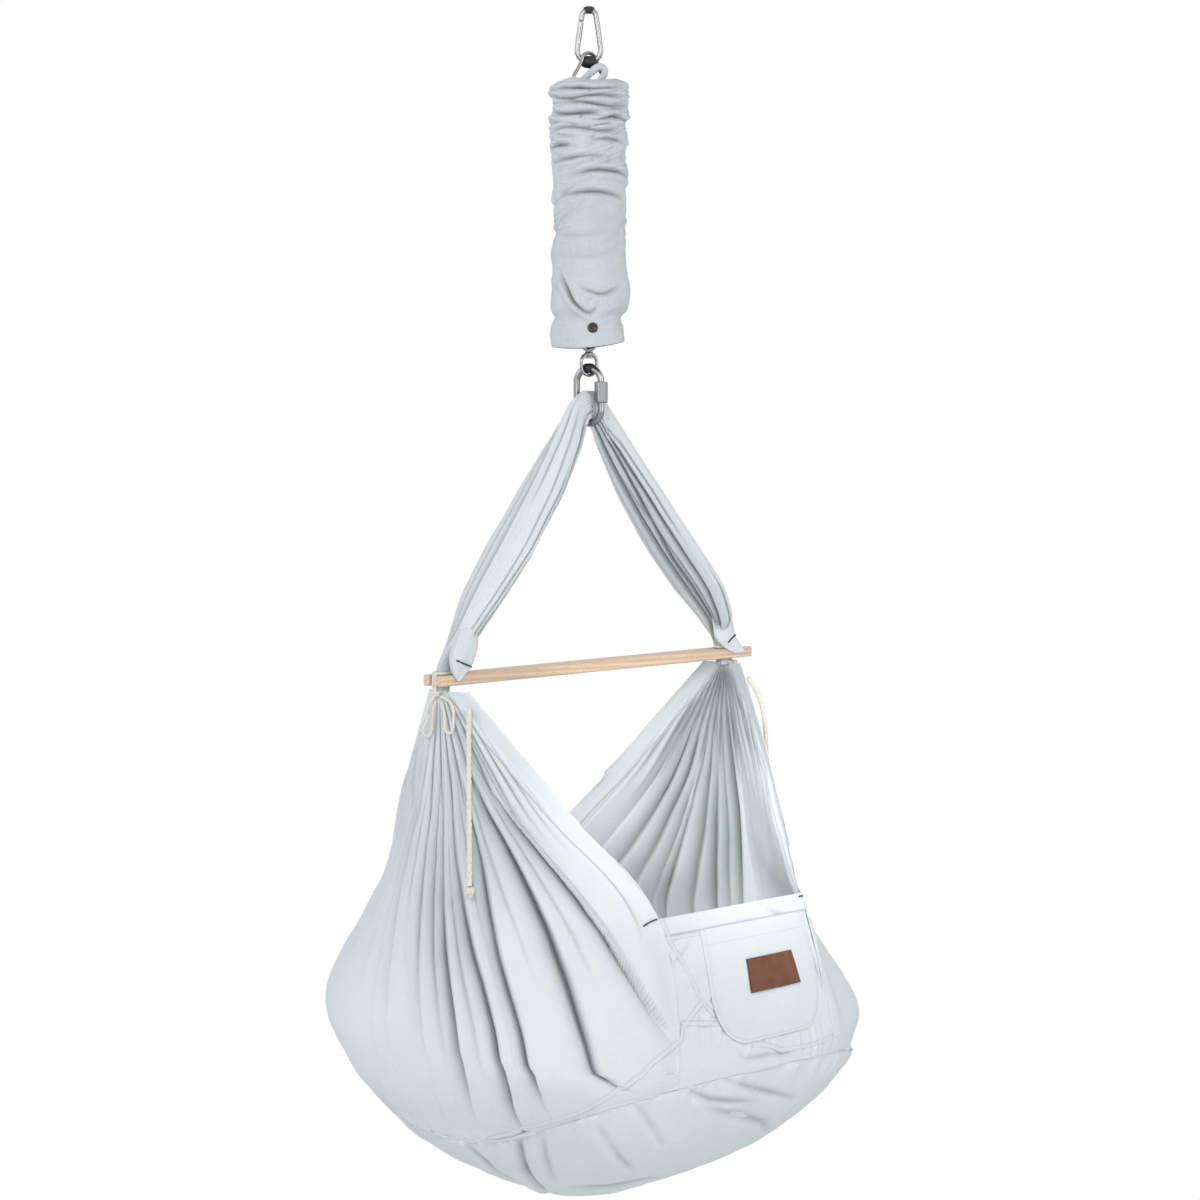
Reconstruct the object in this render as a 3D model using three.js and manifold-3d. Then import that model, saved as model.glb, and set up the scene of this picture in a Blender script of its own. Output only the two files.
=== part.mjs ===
// Hanging baby cradle: a cloth cradle on a spreader bar, hung by a quick link, a swivel
// and a covered tension spring from a snap hook. Millimetres, +Z up.
// The origin is the seat inside the snap hook's top bow, where the ceiling hook carries it.
// X runs along the spreader bar and the pocket side of the cradle faces -Y.

import * as THREE from 'three';
import { mergeVertices } from 'three/addons/utils/BufferGeometryUtils.js';
import Module from 'manifold-3d';

const wasm = await Module();
wasm.setup();

// General fits and cloth
const touchGap = 0.3;
const runGap = 0.35;
const cutOver = 2;
const clothThick = 1.8;
const deg = Math.PI / 180;

// Snap hook: a pear shaped wire with a sprung gate
const hookWire = 7;
const hookTopRadius = 9.5;
const hookLowRadius = 15.5;
const hookLength = 75;
const hookTurn = -48 * deg;
const sleeveOuter = 10;
const sleeveArc = 66 * deg;
const gateBottomDrop = 37;
const gateLength = 27;
const gateSlot = 3.4;
const tongueThick = 2.8;
const rivetRadius = 1.1;
const rivetHeadRadius = 2;
const rivetHeadHeight = 0.8;
const bushOuter = 8.5;
const bushEndOuter = 6.2;
const bushLength = 21;

// Spring hanger: wire loop, plugs, tension spring and safety rope
const loopWire = 5;
const springWire = 5;
const springMean = 28;
const springCoils = 30;
const springPitch = 9.3;
const springTop = -97;
const plugFlangeRadius = 34;
const plugFlangeHeight = 8;
const plugBossHeight = 12;
const loopLegSpread = 30;
const loopSocketDepth = 5;
const loopCrownShare = 0.72;
const loopCrownDropShare = 1.35;
const loopNeckShare = 2.1;
const lugRadius = 9;
const lugHole = 4.8;
const lugThick = 7;
const lugDrop = 30;
const ropeRadius = 3;
const ropeSwell = 9;

// Spring cover: a cotton sleeve gathered on the spring
const coverBottom = -435;
const coverRadius = 48;
const coverTopSwell = 5;
const coverFoldHeight = 3.2;
const coverFoldPitch = 29;
const coverMouthRadius = 35.2;
const coverTopShare = 0.05;
const coverSwellShare = 0.2;
const cinchPlaceShare = 0.905;
const cinchWidthShare = 0.025;
const cinchDepthShare = 0.14;

// Swivel: two eyes joined by a bolt
const eyeWire = 4.5;
const eyeWidth = 28;
const eyeHeight = 33;
const eyeTurn = -18 * deg;
const swivelBossRadius = 5.2;
const swivelBossHeight = 5.6;
const swivelBoltRadius = 2.2;
const swivelHeadRadius = 4;
const swivelHeadHeight = 2.8;

// Quick link and its screw nut
const linkWire = 9;
const linkLength = 82;
const linkLegSpacing = 36;
const linkTurn = -75 * deg;
const linkBushOuter = 6.5;
const linkBushLength = 12;
const linkMouth = 8;
const linkNutLength = 28;
const linkNutFlats = 15.4;
const linkNutTravel = 8;
const linkNutChamfer = 2;

// Spreader bar
const barLength = 620;
const barWidth = 35;
const barThick = 13.5;
const barDrop = 859.5;
const barShift = 13;
const slotWidth = 11;
const slotPast = 17;
const tineRound = 5;
const barEase = 1.2;

// Sling strap: the gathered cloth between the bar and the quick link
const gatherReach = 278;
const strapHeight = 40;
const strapSeatGap = 0.6;
const strapHalfWidth = 38;
const strapHalfThick = 20;
const strapPleatShare = 0.1;
const slotDepth = barLength / 2 + barShift - gatherReach + slotPast;

// Cradle body
const rimDrop = 1155.5;
const rimHalf = 143.5;
const rimFront = 247;
const rimBack = 236;
const bellyDrop = 1300;
const bellyTilt = 42;
const bottomDrop = 1560;
const bellyLength = 366;
const bellyFront = 300;
const bellyBack = 291;
const bellyFrontPower = 3;
const bellyBackPower = 2.15;
const bowlPower = 1.12;
const sideSeamAngle = 16 * deg;
const endSeamShare = 0.6;
const sideSeamRiseShare = 0.33;
const sideSeamPower = 1.5;
const nearHemFront = 44;
const nearHemBack = 20;
const farHemFront = 30;
const farHemBack = 32;
const hemCrowdShare = 0.7;
const hemBow = 4;
const rimEndReach = 348;
const rimEndPower = 1.25;
const neckDepth = 12;
const neckOutShare = 0.6;
const neckDrop = 6;
const foldHeight = 11;
const foldCount = 5;
const foldEndShare = 0.8;
const foldEdgeShare = 0.08;
const foldPower = 0.8;
const seamGap = 1.7;
const mattressThick = 34;
const mattressEdgeShare = 5 / 6;
const mattressSideShares = [[1.02, 0.4], [1, 0.75]];
const mattressTopShares = [0.78, 0.6, 0.3];
const mattressCrownShare = 0.12;
const liftInShare = 0.8;
const mattressLift = 0.8;
const labelThick = 1.6;
const pocketTopShare = 0.04;
const pocketMiddleShare = 0.6;
const pocketHalfShare = 0.36;
const pocketDepthShare = 0.235;
const pocketRoundShare = 0.93;
const pocketFootShare = 0.04;
const labelMiddleShare = 0.14;
const labelAcrossShare = 0.63;
const labelHalfShare = 0.14;
const labelHeightShare = 0.062;

// Cords
const drawRadius = 3.4;
const tieRadius = 1.9;
const knotRadius = 7;
const tieKnotRadius = 5.6;
const knotFlatShare = 0.8;
const knotSlimShare = 0.9;

// Tabs at the ends of the strap's hem bands
const tabWidth = 28;
const tabHeight = 24;
const tabPointDrop = 1.5;
const tabOutlineShares = [[-1, 1], [-0.9, 0.3], [-0.3, 0], [0.2, 0], [0.8, 0.3], [1, 1]];
const nearTabIn = 14;
const farTabOut = 9;
const nearTabReach = gatherReach - nearTabIn;
const farTabReach = gatherReach + farTabOut;

const hookTopCentre = sleeveOuter / 2 - hookTopRadius;
const hookLowCentre = sleeveOuter / 2 + hookWire / 2 - hookLength + hookWire / 2 + hookLowRadius;

// A mesh is merged to shared corners and turned to face out
function solid(geometry) {
  const bare = geometry.clone();
  for (const name of Object.keys(bare.attributes)) {
    if (name !== 'position') bare.deleteAttribute(name);
  }
  const merged = mergeVertices(bare, 1e-4);
  const index = Array.from(merged.index.array);
  const place = merged.attributes.position;
  const kept = [];
  for (let i = 0; i < index.length; i += 3) {
    const [a, b, c] = index.slice(i, i + 3);
    if (a !== b && b !== c && a !== c) kept.push(a, b, c);
  }
  const at = (i) => new THREE.Vector3().fromBufferAttribute(place, i);
  let volume = 0;
  for (let i = 0; i < kept.length; i += 3) {
    volume += at(kept[i]).dot(at(kept[i + 1]).cross(at(kept[i + 2])));
  }
  if (volume < 0) {
    for (let i = 0; i < kept.length; i += 3) {
      [kept[i + 1], kept[i + 2]] = [kept[i + 2], kept[i + 1]];
    }
  }
  merged.setIndex(kept);
  return merged;
}

function toManifold(geometry) {
  const merged = solid(geometry);
  return new wasm.Manifold(new wasm.Mesh({
    numProp: 3,
    vertProperties: new Float32Array(merged.attributes.position.array),
    triVerts: new Uint32Array(merged.index.array),
  }));
}

function fromManifold(shape) {
  const mesh = shape.getMesh();
  const geometry = new THREE.BufferGeometry();
  geometry.setAttribute('position', new THREE.Float32BufferAttribute(mesh.vertProperties, 3));
  geometry.setIndex(Array.from(mesh.triVerts));
  return geometry;
}

function cut(geometry, ...tools) {
  let shape = toManifold(geometry);
  for (const tool of tools) shape = shape.subtract(toManifold(tool));
  return fromManifold(shape);
}

function join(geometry, ...others) {
  let shape = toManifold(geometry);
  for (const other of others) shape = shape.add(toManifold(other));
  return fromManifold(shape);
}

function roundSection(radius, sides) {
  const points = [];
  for (let i = 0; i < sides; i += 1) {
    const turn = (2 * Math.PI * (i + 0.5)) / sides;
    points.push(new THREE.Vector2(radius * Math.cos(turn), radius * Math.sin(turn)));
  }
  return new THREE.Shape(points);
}

function tube(path, radius, steps, sides) {
  return new THREE.ExtrudeGeometry(roundSection(radius, sides), {
    steps, extrudePath: path, bevelEnabled: false,
  });
}

// Rings of equal point count are skinned, either closed in a circle or capped at both ends
function skin(rings, closed) {
  const count = rings[0].length;
  const position = [];
  const index = [];
  for (const ring of rings) {
    for (const point of ring) position.push(point.x, point.y, point.z);
  }
  const spans = closed ? rings.length : rings.length - 1;
  for (let i = 0; i < spans; i += 1) {
    const here = i * count;
    const next = ((i + 1) % rings.length) * count;
    for (let j = 0; j < count; j += 1) {
      const k = (j + 1) % count;
      index.push(here + j, next + j, next + k, here + j, next + k, here + k);
    }
  }
  if (!closed) {
    for (const [ring, flip] of [[0, false], [rings.length - 1, true]]) {
      const centre = rings[ring].reduce((sum, p) => sum.add(p), new THREE.Vector3());
      centre.divideScalar(count);
      const hub = position.length / 3;
      position.push(centre.x, centre.y, centre.z);
      for (let j = 0; j < count; j += 1) {
        const k = (j + 1) % count;
        const a = ring * count + j;
        const b = ring * count + k;
        if (flip) index.push(hub, b, a);
        else index.push(hub, a, b);
      }
    }
  }
  const geometry = new THREE.BufferGeometry();
  geometry.setAttribute('position', new THREE.Float32BufferAttribute(position, 3));
  geometry.setIndex(index);
  return geometry;
}

// A sheet is thickened along its own normals and closed round its edge
function sheet(across, along, place, thick, lift = 0) {
  const small = 1e-3;
  const grid = [];
  for (let i = 0; i <= across; i += 1) {
    const row = [];
    for (let j = 0; j <= along; j += 1) {
      const s = i / across;
      const r = j / along;
      const here = place(s, r);
      const alongS = place(Math.min(1, s + small), r).sub(place(Math.max(0, s - small), r));
      const alongR = place(s, Math.min(1, r + small)).sub(place(s, Math.max(0, r - small)));
      const normal = alongS.cross(alongR).normalize();
      row.push({ here, normal });
    }
    grid.push(row);
  }
  const position = [];
  const face = (side) => {
    for (const row of grid) {
      for (const { here, normal } of row) {
        const point = here.clone().addScaledVector(normal, lift + (side * thick) / 2);
        position.push(point.x, point.y, point.z);
      }
    }
  };
  face(1);
  face(-1);
  const width = along + 1;
  const half = (across + 1) * width;
  const index = [];
  for (let i = 0; i < across; i += 1) {
    for (let j = 0; j < along; j += 1) {
      const a = i * width + j;
      const b = a + 1;
      const c = a + width;
      const d = c + 1;
      index.push(a, c, d, a, d, b);
      index.push(half + a, half + d, half + c, half + a, half + b, half + d);
    }
  }
  const edge = [];
  for (let i = 0; i < across; i += 1) edge.push(i * width);
  for (let j = 0; j < along; j += 1) edge.push(across * width + j);
  for (let i = across; i > 0; i -= 1) edge.push(i * width + along);
  for (let j = along; j > 0; j -= 1) edge.push(j);
  for (let i = 0; i < edge.length; i += 1) {
    const a = edge[i];
    const b = edge[(i + 1) % edge.length];
    index.push(a, half + a, half + b, a, half + b, b);
  }
  const geometry = new THREE.BufferGeometry();
  geometry.setAttribute('position', new THREE.Float32BufferAttribute(position, 3));
  geometry.setIndex(index);
  return geometry;
}

function box(width, depth, height, x = 0, y = 0, z = 0) {
  return new THREE.BoxGeometry(width, depth, height).translate(x, y, z);
}

// A cylinder along Y unless turned
function rod(radius, length, sides = 12) {
  return new THREE.CylinderGeometry(radius, radius, length, sides);
}

function lathe(profile, sides) {
  const points = profile.map(([radius, height]) => new THREE.Vector2(radius, height));
  return new THREE.LatheGeometry(points, sides).rotateX(Math.PI / 2);
}

const finishes = {
  steel: new THREE.MeshStandardMaterial({ color: 0xb9bcc0, roughness: 0.22, metalness: 1 }),
  springSteel: new THREE.MeshStandardMaterial({ color: 0x2b2d30, roughness: 0.4, metalness: 0.8 }),
  rubber: new THREE.MeshStandardMaterial({ color: 0x17181b, roughness: 0.6, metalness: 0 }),
  plastic: new THREE.MeshStandardMaterial({ color: 0x1c1d20, roughness: 0.45, metalness: 0 }),
  beech: new THREE.MeshStandardMaterial({ color: 0xd9b894, roughness: 0.55, metalness: 0 }),
  cotton: new THREE.MeshStandardMaterial({ color: 0xdbe2e4, roughness: 0.9, metalness: 0 }),
  cord: new THREE.MeshStandardMaterial({ color: 0xe4d8c2, roughness: 0.9, metalness: 0 }),
  leather: new THREE.MeshStandardMaterial({ color: 0x7d452b, roughness: 0.55, metalness: 0 }),
};

function piece(name, geometry, finish) {
  const mesh = new THREE.Mesh(solid(geometry), finishes[finish]);
  mesh.name = name;
  return mesh;
}

const P3 = (x, y, z) => new THREE.Vector3(x, y, z);

// The hook's outline in its own plane: X to the right, Z up
function hookTangent() {
  const rise = hookTopCentre - hookLowCentre;
  return Math.asin((hookLowRadius - hookTopRadius) / rise);
}

function hookLeg(side, z) {
  const lean = hookTangent();
  const topX = hookTopRadius * Math.cos(lean);
  const topZ = hookTopCentre + hookTopRadius * Math.sin(lean);
  return P3(side * (topX + (topZ - z) * Math.tan(lean)), 0, z);
}

function arcPoints(radius, centreZ, from, to, count) {
  const points = [];
  for (let i = 0; i <= count; i += 1) {
    const turn = from + ((to - from) * i) / count;
    points.push(P3(radius * Math.cos(turn), 0, centreZ + radius * Math.sin(turn)));
  }
  return points;
}

class Polyline extends THREE.Curve {
  constructor(points) {
    super();
    this.points = points;
    this.reach = [0];
    for (let i = 1; i < points.length; i += 1) {
      this.reach.push(this.reach[i - 1] + points[i].distanceTo(points[i - 1]));
    }
  }

  getPoint(share) {
    const total = this.reach[this.reach.length - 1];
    const goal = share * total;
    let i = 1;
    while (i < this.points.length - 1 && this.reach[i] < goal) i += 1;
    const part = (goal - this.reach[i - 1]) / (this.reach[i] - this.reach[i - 1]);
    return this.points[i - 1].clone().lerp(this.points[i], Math.min(1, Math.max(0, part)));
  }
}

function hookGroup() {
  const group = new THREE.Group();
  group.rotation.z = hookTurn;
  const lean = hookTangent();
  const gatePivotZ = -gateBottomDrop;
  const gateTopZ = gatePivotZ + gateLength;
  const pivot = hookLeg(-1, gatePivotZ);
  const noseEnd = hookLeg(-1, gateTopZ + runGap);
  const points = [noseEnd];
  points.push(...arcPoints(hookTopRadius, hookTopCentre, Math.PI - lean, lean, 18));
  points.push(...arcPoints(hookLowRadius, hookLowCentre, lean, -Math.PI - lean, 26));
  points.push(hookLeg(-1, gatePivotZ - hookWire / 4));
  const wireTube = tube(new Polyline(points), hookWire / 2, 46, 8);

  const legLean = new THREE.Matrix4().makeRotationY(lean);
  const atPivot = (geometry) => geometry.applyMatrix4(legLean).translate(pivot.x, 0, pivot.z);
  const ball = atPivot(rod(hookWire / 2 + runGap * 2, hookWire + cutOver, 16));
  const tongueHeight = hookWire;
  const tongueWidth = hookWire - 2 * runGap;
  const tongue = atPivot(join(
    box(tongueWidth, tongueThick, tongueHeight, 0, 0, -tongueHeight / 2),
    rod(tongueWidth / 2, tongueThick, 14),
  ));
  const pinHole = atPivot(rod(rivetRadius + runGap, hookWire + cutOver, 10));
  const body = cut(join(cut(wireTube, ball), tongue), pinHole);
  group.add(piece('carabiner_body', body, 'steel'));

  const gateRadius = hookWire / 2 + runGap / 2;
  const barrelLength = gateLength;
  const barrel = rod(gateRadius, barrelLength, 12).rotateX(Math.PI / 2);
  barrel.translate(0, 0, barrelLength / 2);
  const heelRound = new THREE.SphereGeometry(gateRadius, 12, 8);
  const slot = box(gateRadius * 2 + cutOver, gateSlot, tongueHeight + tongueWidth,
    0, 0, -tongueHeight / 2 + tongueWidth / 4);
  const latchSlot = box(gateRadius / 2, gateRadius * 2 + cutOver, gateRadius / 2,
    0, 0, barrelLength - gateRadius);
  const gateShape = cut(join(barrel, heelRound), slot, latchSlot,
    rod(rivetRadius + runGap, hookWire + cutOver, 10));
  group.add(piece('carabiner_gate', atPivot(gateShape), 'steel'));

  const shank = rod(rivetRadius, gateRadius * 2 + 2 * runGap + rivetHeadHeight, 10);
  const head = rod(rivetHeadRadius, rivetHeadHeight, 12);
  const headOut = gateRadius + runGap + rivetHeadHeight / 2;
  const rivet = join(shank, head.clone().translate(0, headOut, 0), head.translate(0, -headOut, 0));
  group.add(piece('gate_rivet', atPivot(rivet), 'steel'));

  const bore = hookWire / 2 + touchGap;
  group.add(piece('top_sleeve', bentSleeve(hookTopRadius, hookTopCentre, Math.PI / 2, sleeveArc,
    bore, sleeveOuter / 2, sleeveOuter / 2, 4, 12), 'rubber'));
  const bushArc = bushLength / hookLowRadius;
  const bush = bentSleeve(hookLowRadius, hookLowCentre, -Math.PI / 2, bushArc,
    bore, bushOuter, bushEndOuter, 8);
  group.add(piece('carabiner_bush', bush, 'rubber'));
  return group;
}

// A sleeve bent round a bow, barrel shaped between its two end radii
function bentSleeve(bend, centreZ, middle, arc, bore, outer, endOuter, steps, sides = 14) {
  const ring = (turn, radius) => {
    const points = [];
    for (let i = 0; i < sides; i += 1) {
      const around = (2 * Math.PI * i) / sides;
      const reach = bend + radius * Math.cos(around);
      points.push(P3(reach * Math.cos(turn), radius * Math.sin(around),
        centreZ + reach * Math.sin(turn)));
    }
    return points;
  };
  const rings = [];
  for (let i = 0; i <= steps; i += 1) {
    const share = i / steps;
    const swell = Math.sin(Math.PI * share);
    const radius = endOuter + (outer - endOuter) * Math.sqrt(swell);
    rings.push(ring(middle + arc * (share - 0.5), radius));
  }
  for (let i = steps; i >= 0; i -= 1) {
    rings.push(ring(middle + arc * (i / steps - 0.5), bore));
  }
  return skin(rings, true);
}

const bushCentreZ = hookLowCentre - hookLowRadius;
const plugTop = springTop + plugFlangeHeight + touchGap;
const springLength = springCoils * springPitch;
const springBottom = springTop - springLength - springWire;
const lowPlugBottom = springBottom - touchGap - plugFlangeHeight;
const lugHoleZ = lowPlugBottom - lugDrop + lugRadius;

function springLoop() {
  const half = loopWire / 2;
  const apex = bushCentreZ + bushOuter + 3 * touchGap + half;
  const shoulder = bushOuter + half * 2 + touchGap * 4;
  const legEnd = plugTop - loopSocketDepth + touchGap;
  const side = [
    P3(shoulder * loopCrownShare, 0, apex - half * loopCrownDropShare),
    P3(shoulder, 0, bushCentreZ),
    P3((shoulder + loopLegSpread) / 2, 0, bushCentreZ - loopWire * loopNeckShare),
    P3(loopLegSpread, 0, plugTop + loopWire), P3(loopLegSpread, 0, legEnd),
  ];
  const other = side.map((p) => P3(-p.x, 0, p.z)).reverse();
  const curve = new THREE.CatmullRomCurve3([...other, P3(0, 0, apex), ...side]);
  return tube(curve, half, 38, 8);
}

function plugSolid() {
  const bossRadius = (springMean - springWire / 2) * Math.cos(Math.PI / 8) - touchGap;
  return lathe([
    [0, 0], [plugFlangeRadius, 0], [plugFlangeRadius, plugFlangeHeight],
    [bossRadius + springWire, plugFlangeHeight], [bossRadius, plugFlangeHeight],
    [bossRadius, plugFlangeHeight + plugBossHeight],
    [ropeRadius * 3, plugFlangeHeight + plugBossHeight],
    [ropeRadius * 3, plugFlangeHeight / 2], [0, plugFlangeHeight / 2],
  ], 24);
}

function upperPlug() {
  const plug = plugSolid().rotateX(Math.PI).translate(0, 0, plugTop);
  const sockets = [-1, 1].map((side) => rod(loopWire / 2 + 2 * touchGap, loopSocketDepth * 2, 10)
    .rotateX(Math.PI / 2).translate(side * loopLegSpread, 0, plugTop));
  return cut(plug, ...sockets);
}

function lowerPlug() {
  const plug = plugSolid().translate(0, 0, lowPlugBottom);
  const neck = box(lugRadius * 2, lugThick, lugDrop - lugRadius, 0, 0,
    lowPlugBottom - (lugDrop - lugRadius) / 2 + touchGap);
  const end = rod(lugRadius, lugThick, 20).translate(0, 0, lugHoleZ);
  const turnToEye = (geometry) => geometry.rotateZ(eyeTurn + Math.PI / 2);
  const lug = cut(join(neck, end), rod(lugHole, lugThick + cutOver, 14).translate(0, 0, lugHoleZ));
  return join(plug, turnToEye(lug));
}

// The spring is one unbroken wire; its least gap to itself is measured and printed
function springGeometry() {
  const sidesPerTurn = 8;
  const wireSides = 5;
  const rings = [];
  const half = springWire / 2;
  const steps = springCoils * sidesPerTurn;
  for (let i = 0; i <= steps; i += 1) {
    const turn = (2 * Math.PI * i) / sidesPerTurn;
    const height = springTop - half - (springPitch * i) / sidesPerTurn;
    const ring = [];
    for (let j = 0; j < wireSides; j += 1) {
      const around = (2 * Math.PI * j) / wireSides;
      const reach = springMean + half * Math.cos(around);
      ring.push(P3(reach * Math.cos(turn), reach * Math.sin(turn),
        height + half * Math.sin(around)));
    }
    rings.push(ring);
  }
  const least = springPitch - 2 * half * Math.sin((2 * Math.PI) / wireSides);
  console.log(`spring: ${springCoils} turns, least gap to itself ${least.toFixed(2)} mm`);
  return skin(rings, false);
}

function safetyRope() {
  const top = plugTop - plugFlangeHeight / 2 - touchGap;
  const bottom = lowPlugBottom + plugFlangeHeight / 2 + touchGap;
  const points = [];
  const waves = 5;
  const steps = 20;
  for (let i = 0; i <= steps; i += 1) {
    const share = i / steps;
    const ends = Math.min(1, 5 * Math.min(share, 1 - share));
    const swell = ropeSwell * ends;
    points.push(P3(swell * Math.sin(2 * Math.PI * waves * share) * ends,
      swell * Math.cos(2 * Math.PI * waves * share) * ends, top + (bottom - top) * share));
  }
  return tube(new THREE.CatmullRomCurve3(points), ropeRadius, 40, 6);
}

// The gathered sleeve: rings of folds that fade towards its hem
const coverTop = plugTop + touchGap + clothThick;

function coverGeometry() {
  const around = 12;
  const rows = 20;
  const height = coverTop - coverBottom;
  const radiusAt = (share) => {
    const closing = Math.min(1, share / coverTopShare);
    const fromCinch = (share - cinchPlaceShare) / cinchWidthShare;
    const cinch = 1 - cinchDepthShare * Math.exp(-(fromCinch ** 2));
    const fold = coverFoldHeight * Math.cos((2 * Math.PI * share * height) / coverFoldPitch);
    const swell = coverTopSwell * Math.max(0, 1 - share / coverSwellShare);
    const full = coverRadius * cinch + swell;
    const rounded = Math.sqrt(closing * (2 - closing));
    return coverMouthRadius + (full - coverMouthRadius) * rounded
      + fold * (1 - share * share) * closing;
  };
  const ring = (share, radius, z) => {
    const points = [];
    for (let i = 0; i < around; i += 1) {
      const turn = (2 * Math.PI * i) / around;
      points.push(P3(radius * Math.cos(turn), radius * Math.sin(turn), z));
    }
    return points;
  };
  const rings = [];
  for (let i = 0; i <= rows; i += 1) {
    const share = i / rows;
    rings.push(ring(share, radiusAt(share), coverTop - height * share));
  }
  for (let i = rows; i >= 0; i -= 1) {
    const share = i / rows;
    const z = coverTop - height * share;
    if (i === 0) rings.push(ring(share, radiusAt(share), z - clothThick));
    else rings.push(ring(share, radiusAt(share) - clothThick * (i === 1 ? 1.5 : 1), z));
  }
  return skin(rings, true);
}

// A closed oval ring in the XZ plane, from two half circles and two straight legs
function ovalRing(width, height, wire, sides = 8, bow = 8) {
  const bend = (width - wire) / 2;
  const straight = (height - wire) / 2 - bend;
  const centres = [];
  for (let i = 0; i <= bow; i += 1) centres.push([(Math.PI * i) / bow, straight]);
  for (let i = 0; i <= bow; i += 1) centres.push([Math.PI + (Math.PI * i) / bow, -straight]);
  const rings = centres.map(([turn, z]) => {
    const points = [];
    for (let j = 0; j < sides; j += 1) {
      const around = (2 * Math.PI * (j + 0.5)) / sides;
      const reach = bend + (wire / 2) * Math.cos(around);
      points.push(P3(reach * Math.cos(turn), (wire / 2) * Math.sin(around),
        z + reach * Math.sin(turn)));
    }
    return points;
  });
  return skin(rings, true);
}

// The upper eye hangs in the lug and the lower eye turns under it
const eyeBend = (eyeWidth - eyeWire) / 2;
const eyeBowSag = eyeBend - Math.sqrt(eyeBend ** 2 - (lugThick / 2) ** 2);
const upperEyeTop = lugHoleZ - lugHole + touchGap + eyeWire + eyeBowSag;
const upperEyeCentre = upperEyeTop - eyeHeight / 2;
const upperEyeBottom = upperEyeTop - eyeHeight;
const lowerEyeTop = upperEyeBottom - touchGap;
const lowerEyeCentre = lowerEyeTop - eyeHeight / 2;
const lowerEyeBottom = lowerEyeTop - eyeHeight;

function swivelPieces() {
  const group = new THREE.Group();
  group.rotation.z = eyeTurn;
  const bossAt = (z) => rod(swivelBossRadius, swivelBossHeight, 16).rotateX(Math.PI / 2)
    .translate(0, 0, z);
  const boltHole = rod(swivelBoltRadius + touchGap, eyeHeight, 12).rotateX(Math.PI / 2)
    .translate(0, 0, upperEyeBottom);
  const upperBoss = upperEyeBottom + swivelBossHeight / 2;
  const lowerBoss = lowerEyeTop - swivelBossHeight / 2;
  const ring = (z) => ovalRing(eyeWidth, eyeHeight, eyeWire).translate(0, 0, z);
  group.add(piece('swivel_upper_eye',
    cut(join(ring(upperEyeCentre), bossAt(upperBoss)), boltHole), 'steel'));
  group.add(piece('swivel_lower_eye',
    cut(join(ring(lowerEyeCentre), bossAt(lowerBoss)), boltHole), 'steel'));
  const headZ = upperEyeBottom + swivelBossHeight + touchGap + swivelHeadHeight / 2;
  const nutZ = lowerEyeTop - swivelBossHeight - touchGap - swivelHeadHeight / 2;
  const head = rod(swivelHeadRadius, swivelHeadHeight, 16).rotateX(Math.PI / 2)
    .translate(0, 0, headZ);
  const boltLength = headZ - nutZ + swivelHeadHeight;
  const shank = rod(swivelBoltRadius, boltLength, 12).rotateX(Math.PI / 2)
    .translate(0, 0, (headZ + nutZ) / 2);
  group.add(piece('swivel_bolt', join(head, shank), 'steel'));
  const nut = rod(swivelHeadRadius + swivelBoltRadius / 2, swivelHeadHeight, 6).rotateX(Math.PI / 2)
    .translate(0, 0, nutZ);
  const nutBore = rod(swivelBoltRadius + touchGap, eyeHeight, 12).rotateX(Math.PI / 2)
    .translate(0, 0, nutZ);
  group.add(piece('swivel_nut', cut(nut, nutBore), 'steel'));
  return group;
}

// The quick link hangs in the lower eye by its rubber bush
const linkTopCentreLine = lowerEyeBottom + eyeWire + 2 * touchGap + linkBushOuter;
const linkTop = linkTopCentreLine + linkWire / 2;
const linkBend = linkLegSpacing / 2;
const linkTopBow = linkTopCentreLine - linkBend;
const linkLowBow = linkTop - linkLength + linkWire / 2 + linkBend;
const linkSeatZ = linkLowBow - linkBend;
const nutTop = linkTopBow + touchGap;

function linkPieces() {
  const group = new THREE.Group();
  group.rotation.z = linkTurn;
  const mouthTop = nutTop - linkNutTravel / 4;
  const points = [P3(linkBend, 0, mouthTop)];
  points.push(...arcPoints(linkBend, linkTopBow, 0, Math.PI, 16));
  points.push(...arcPoints(linkBend, linkLowBow, Math.PI, 2 * Math.PI, 16));
  points.push(P3(linkBend, 0, mouthTop - linkMouth + linkNutTravel / 4));
  group.add(piece('quick_link', tube(new Polyline(points), linkWire / 2, 46, 8), 'steel'));

  const flatsRadius = linkNutFlats / 2 / Math.cos(Math.PI / 6);
  const low = nutTop - linkNutLength;
  const chamferRadius = flatsRadius - linkNutChamfer / 2;
  const hex = rod(flatsRadius, linkNutLength, 6).rotateX(Math.PI / 2);
  hex.translate(0, 0, nutTop - linkNutLength / 2);
  const dome = lathe([
    [0, low], [chamferRadius, low], [flatsRadius + touchGap, low + linkNutChamfer],
    [flatsRadius + touchGap, nutTop - linkNutChamfer], [chamferRadius, nutTop], [0, nutTop],
  ], 24);
  const bore = rod(linkWire / 2 + touchGap, linkNutLength + cutOver, 14).rotateX(Math.PI / 2);
  bore.translate(0, 0, nutTop - linkNutLength / 2);
  const rounded = fromManifold(toManifold(hex).intersect(toManifold(dome)));
  group.add(piece('quick_link_nut', cut(rounded, bore).translate(linkBend, 0, 0), 'steel'));

  const bushArc = linkBushLength / linkBend;
  group.add(piece('link_bush', bentSleeve(linkBend, linkTopBow, Math.PI / 2, bushArc,
    linkWire / 2 + touchGap, linkBushOuter, linkBushOuter - touchGap, 4, 12), 'rubber'));
  return group;
}

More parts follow.
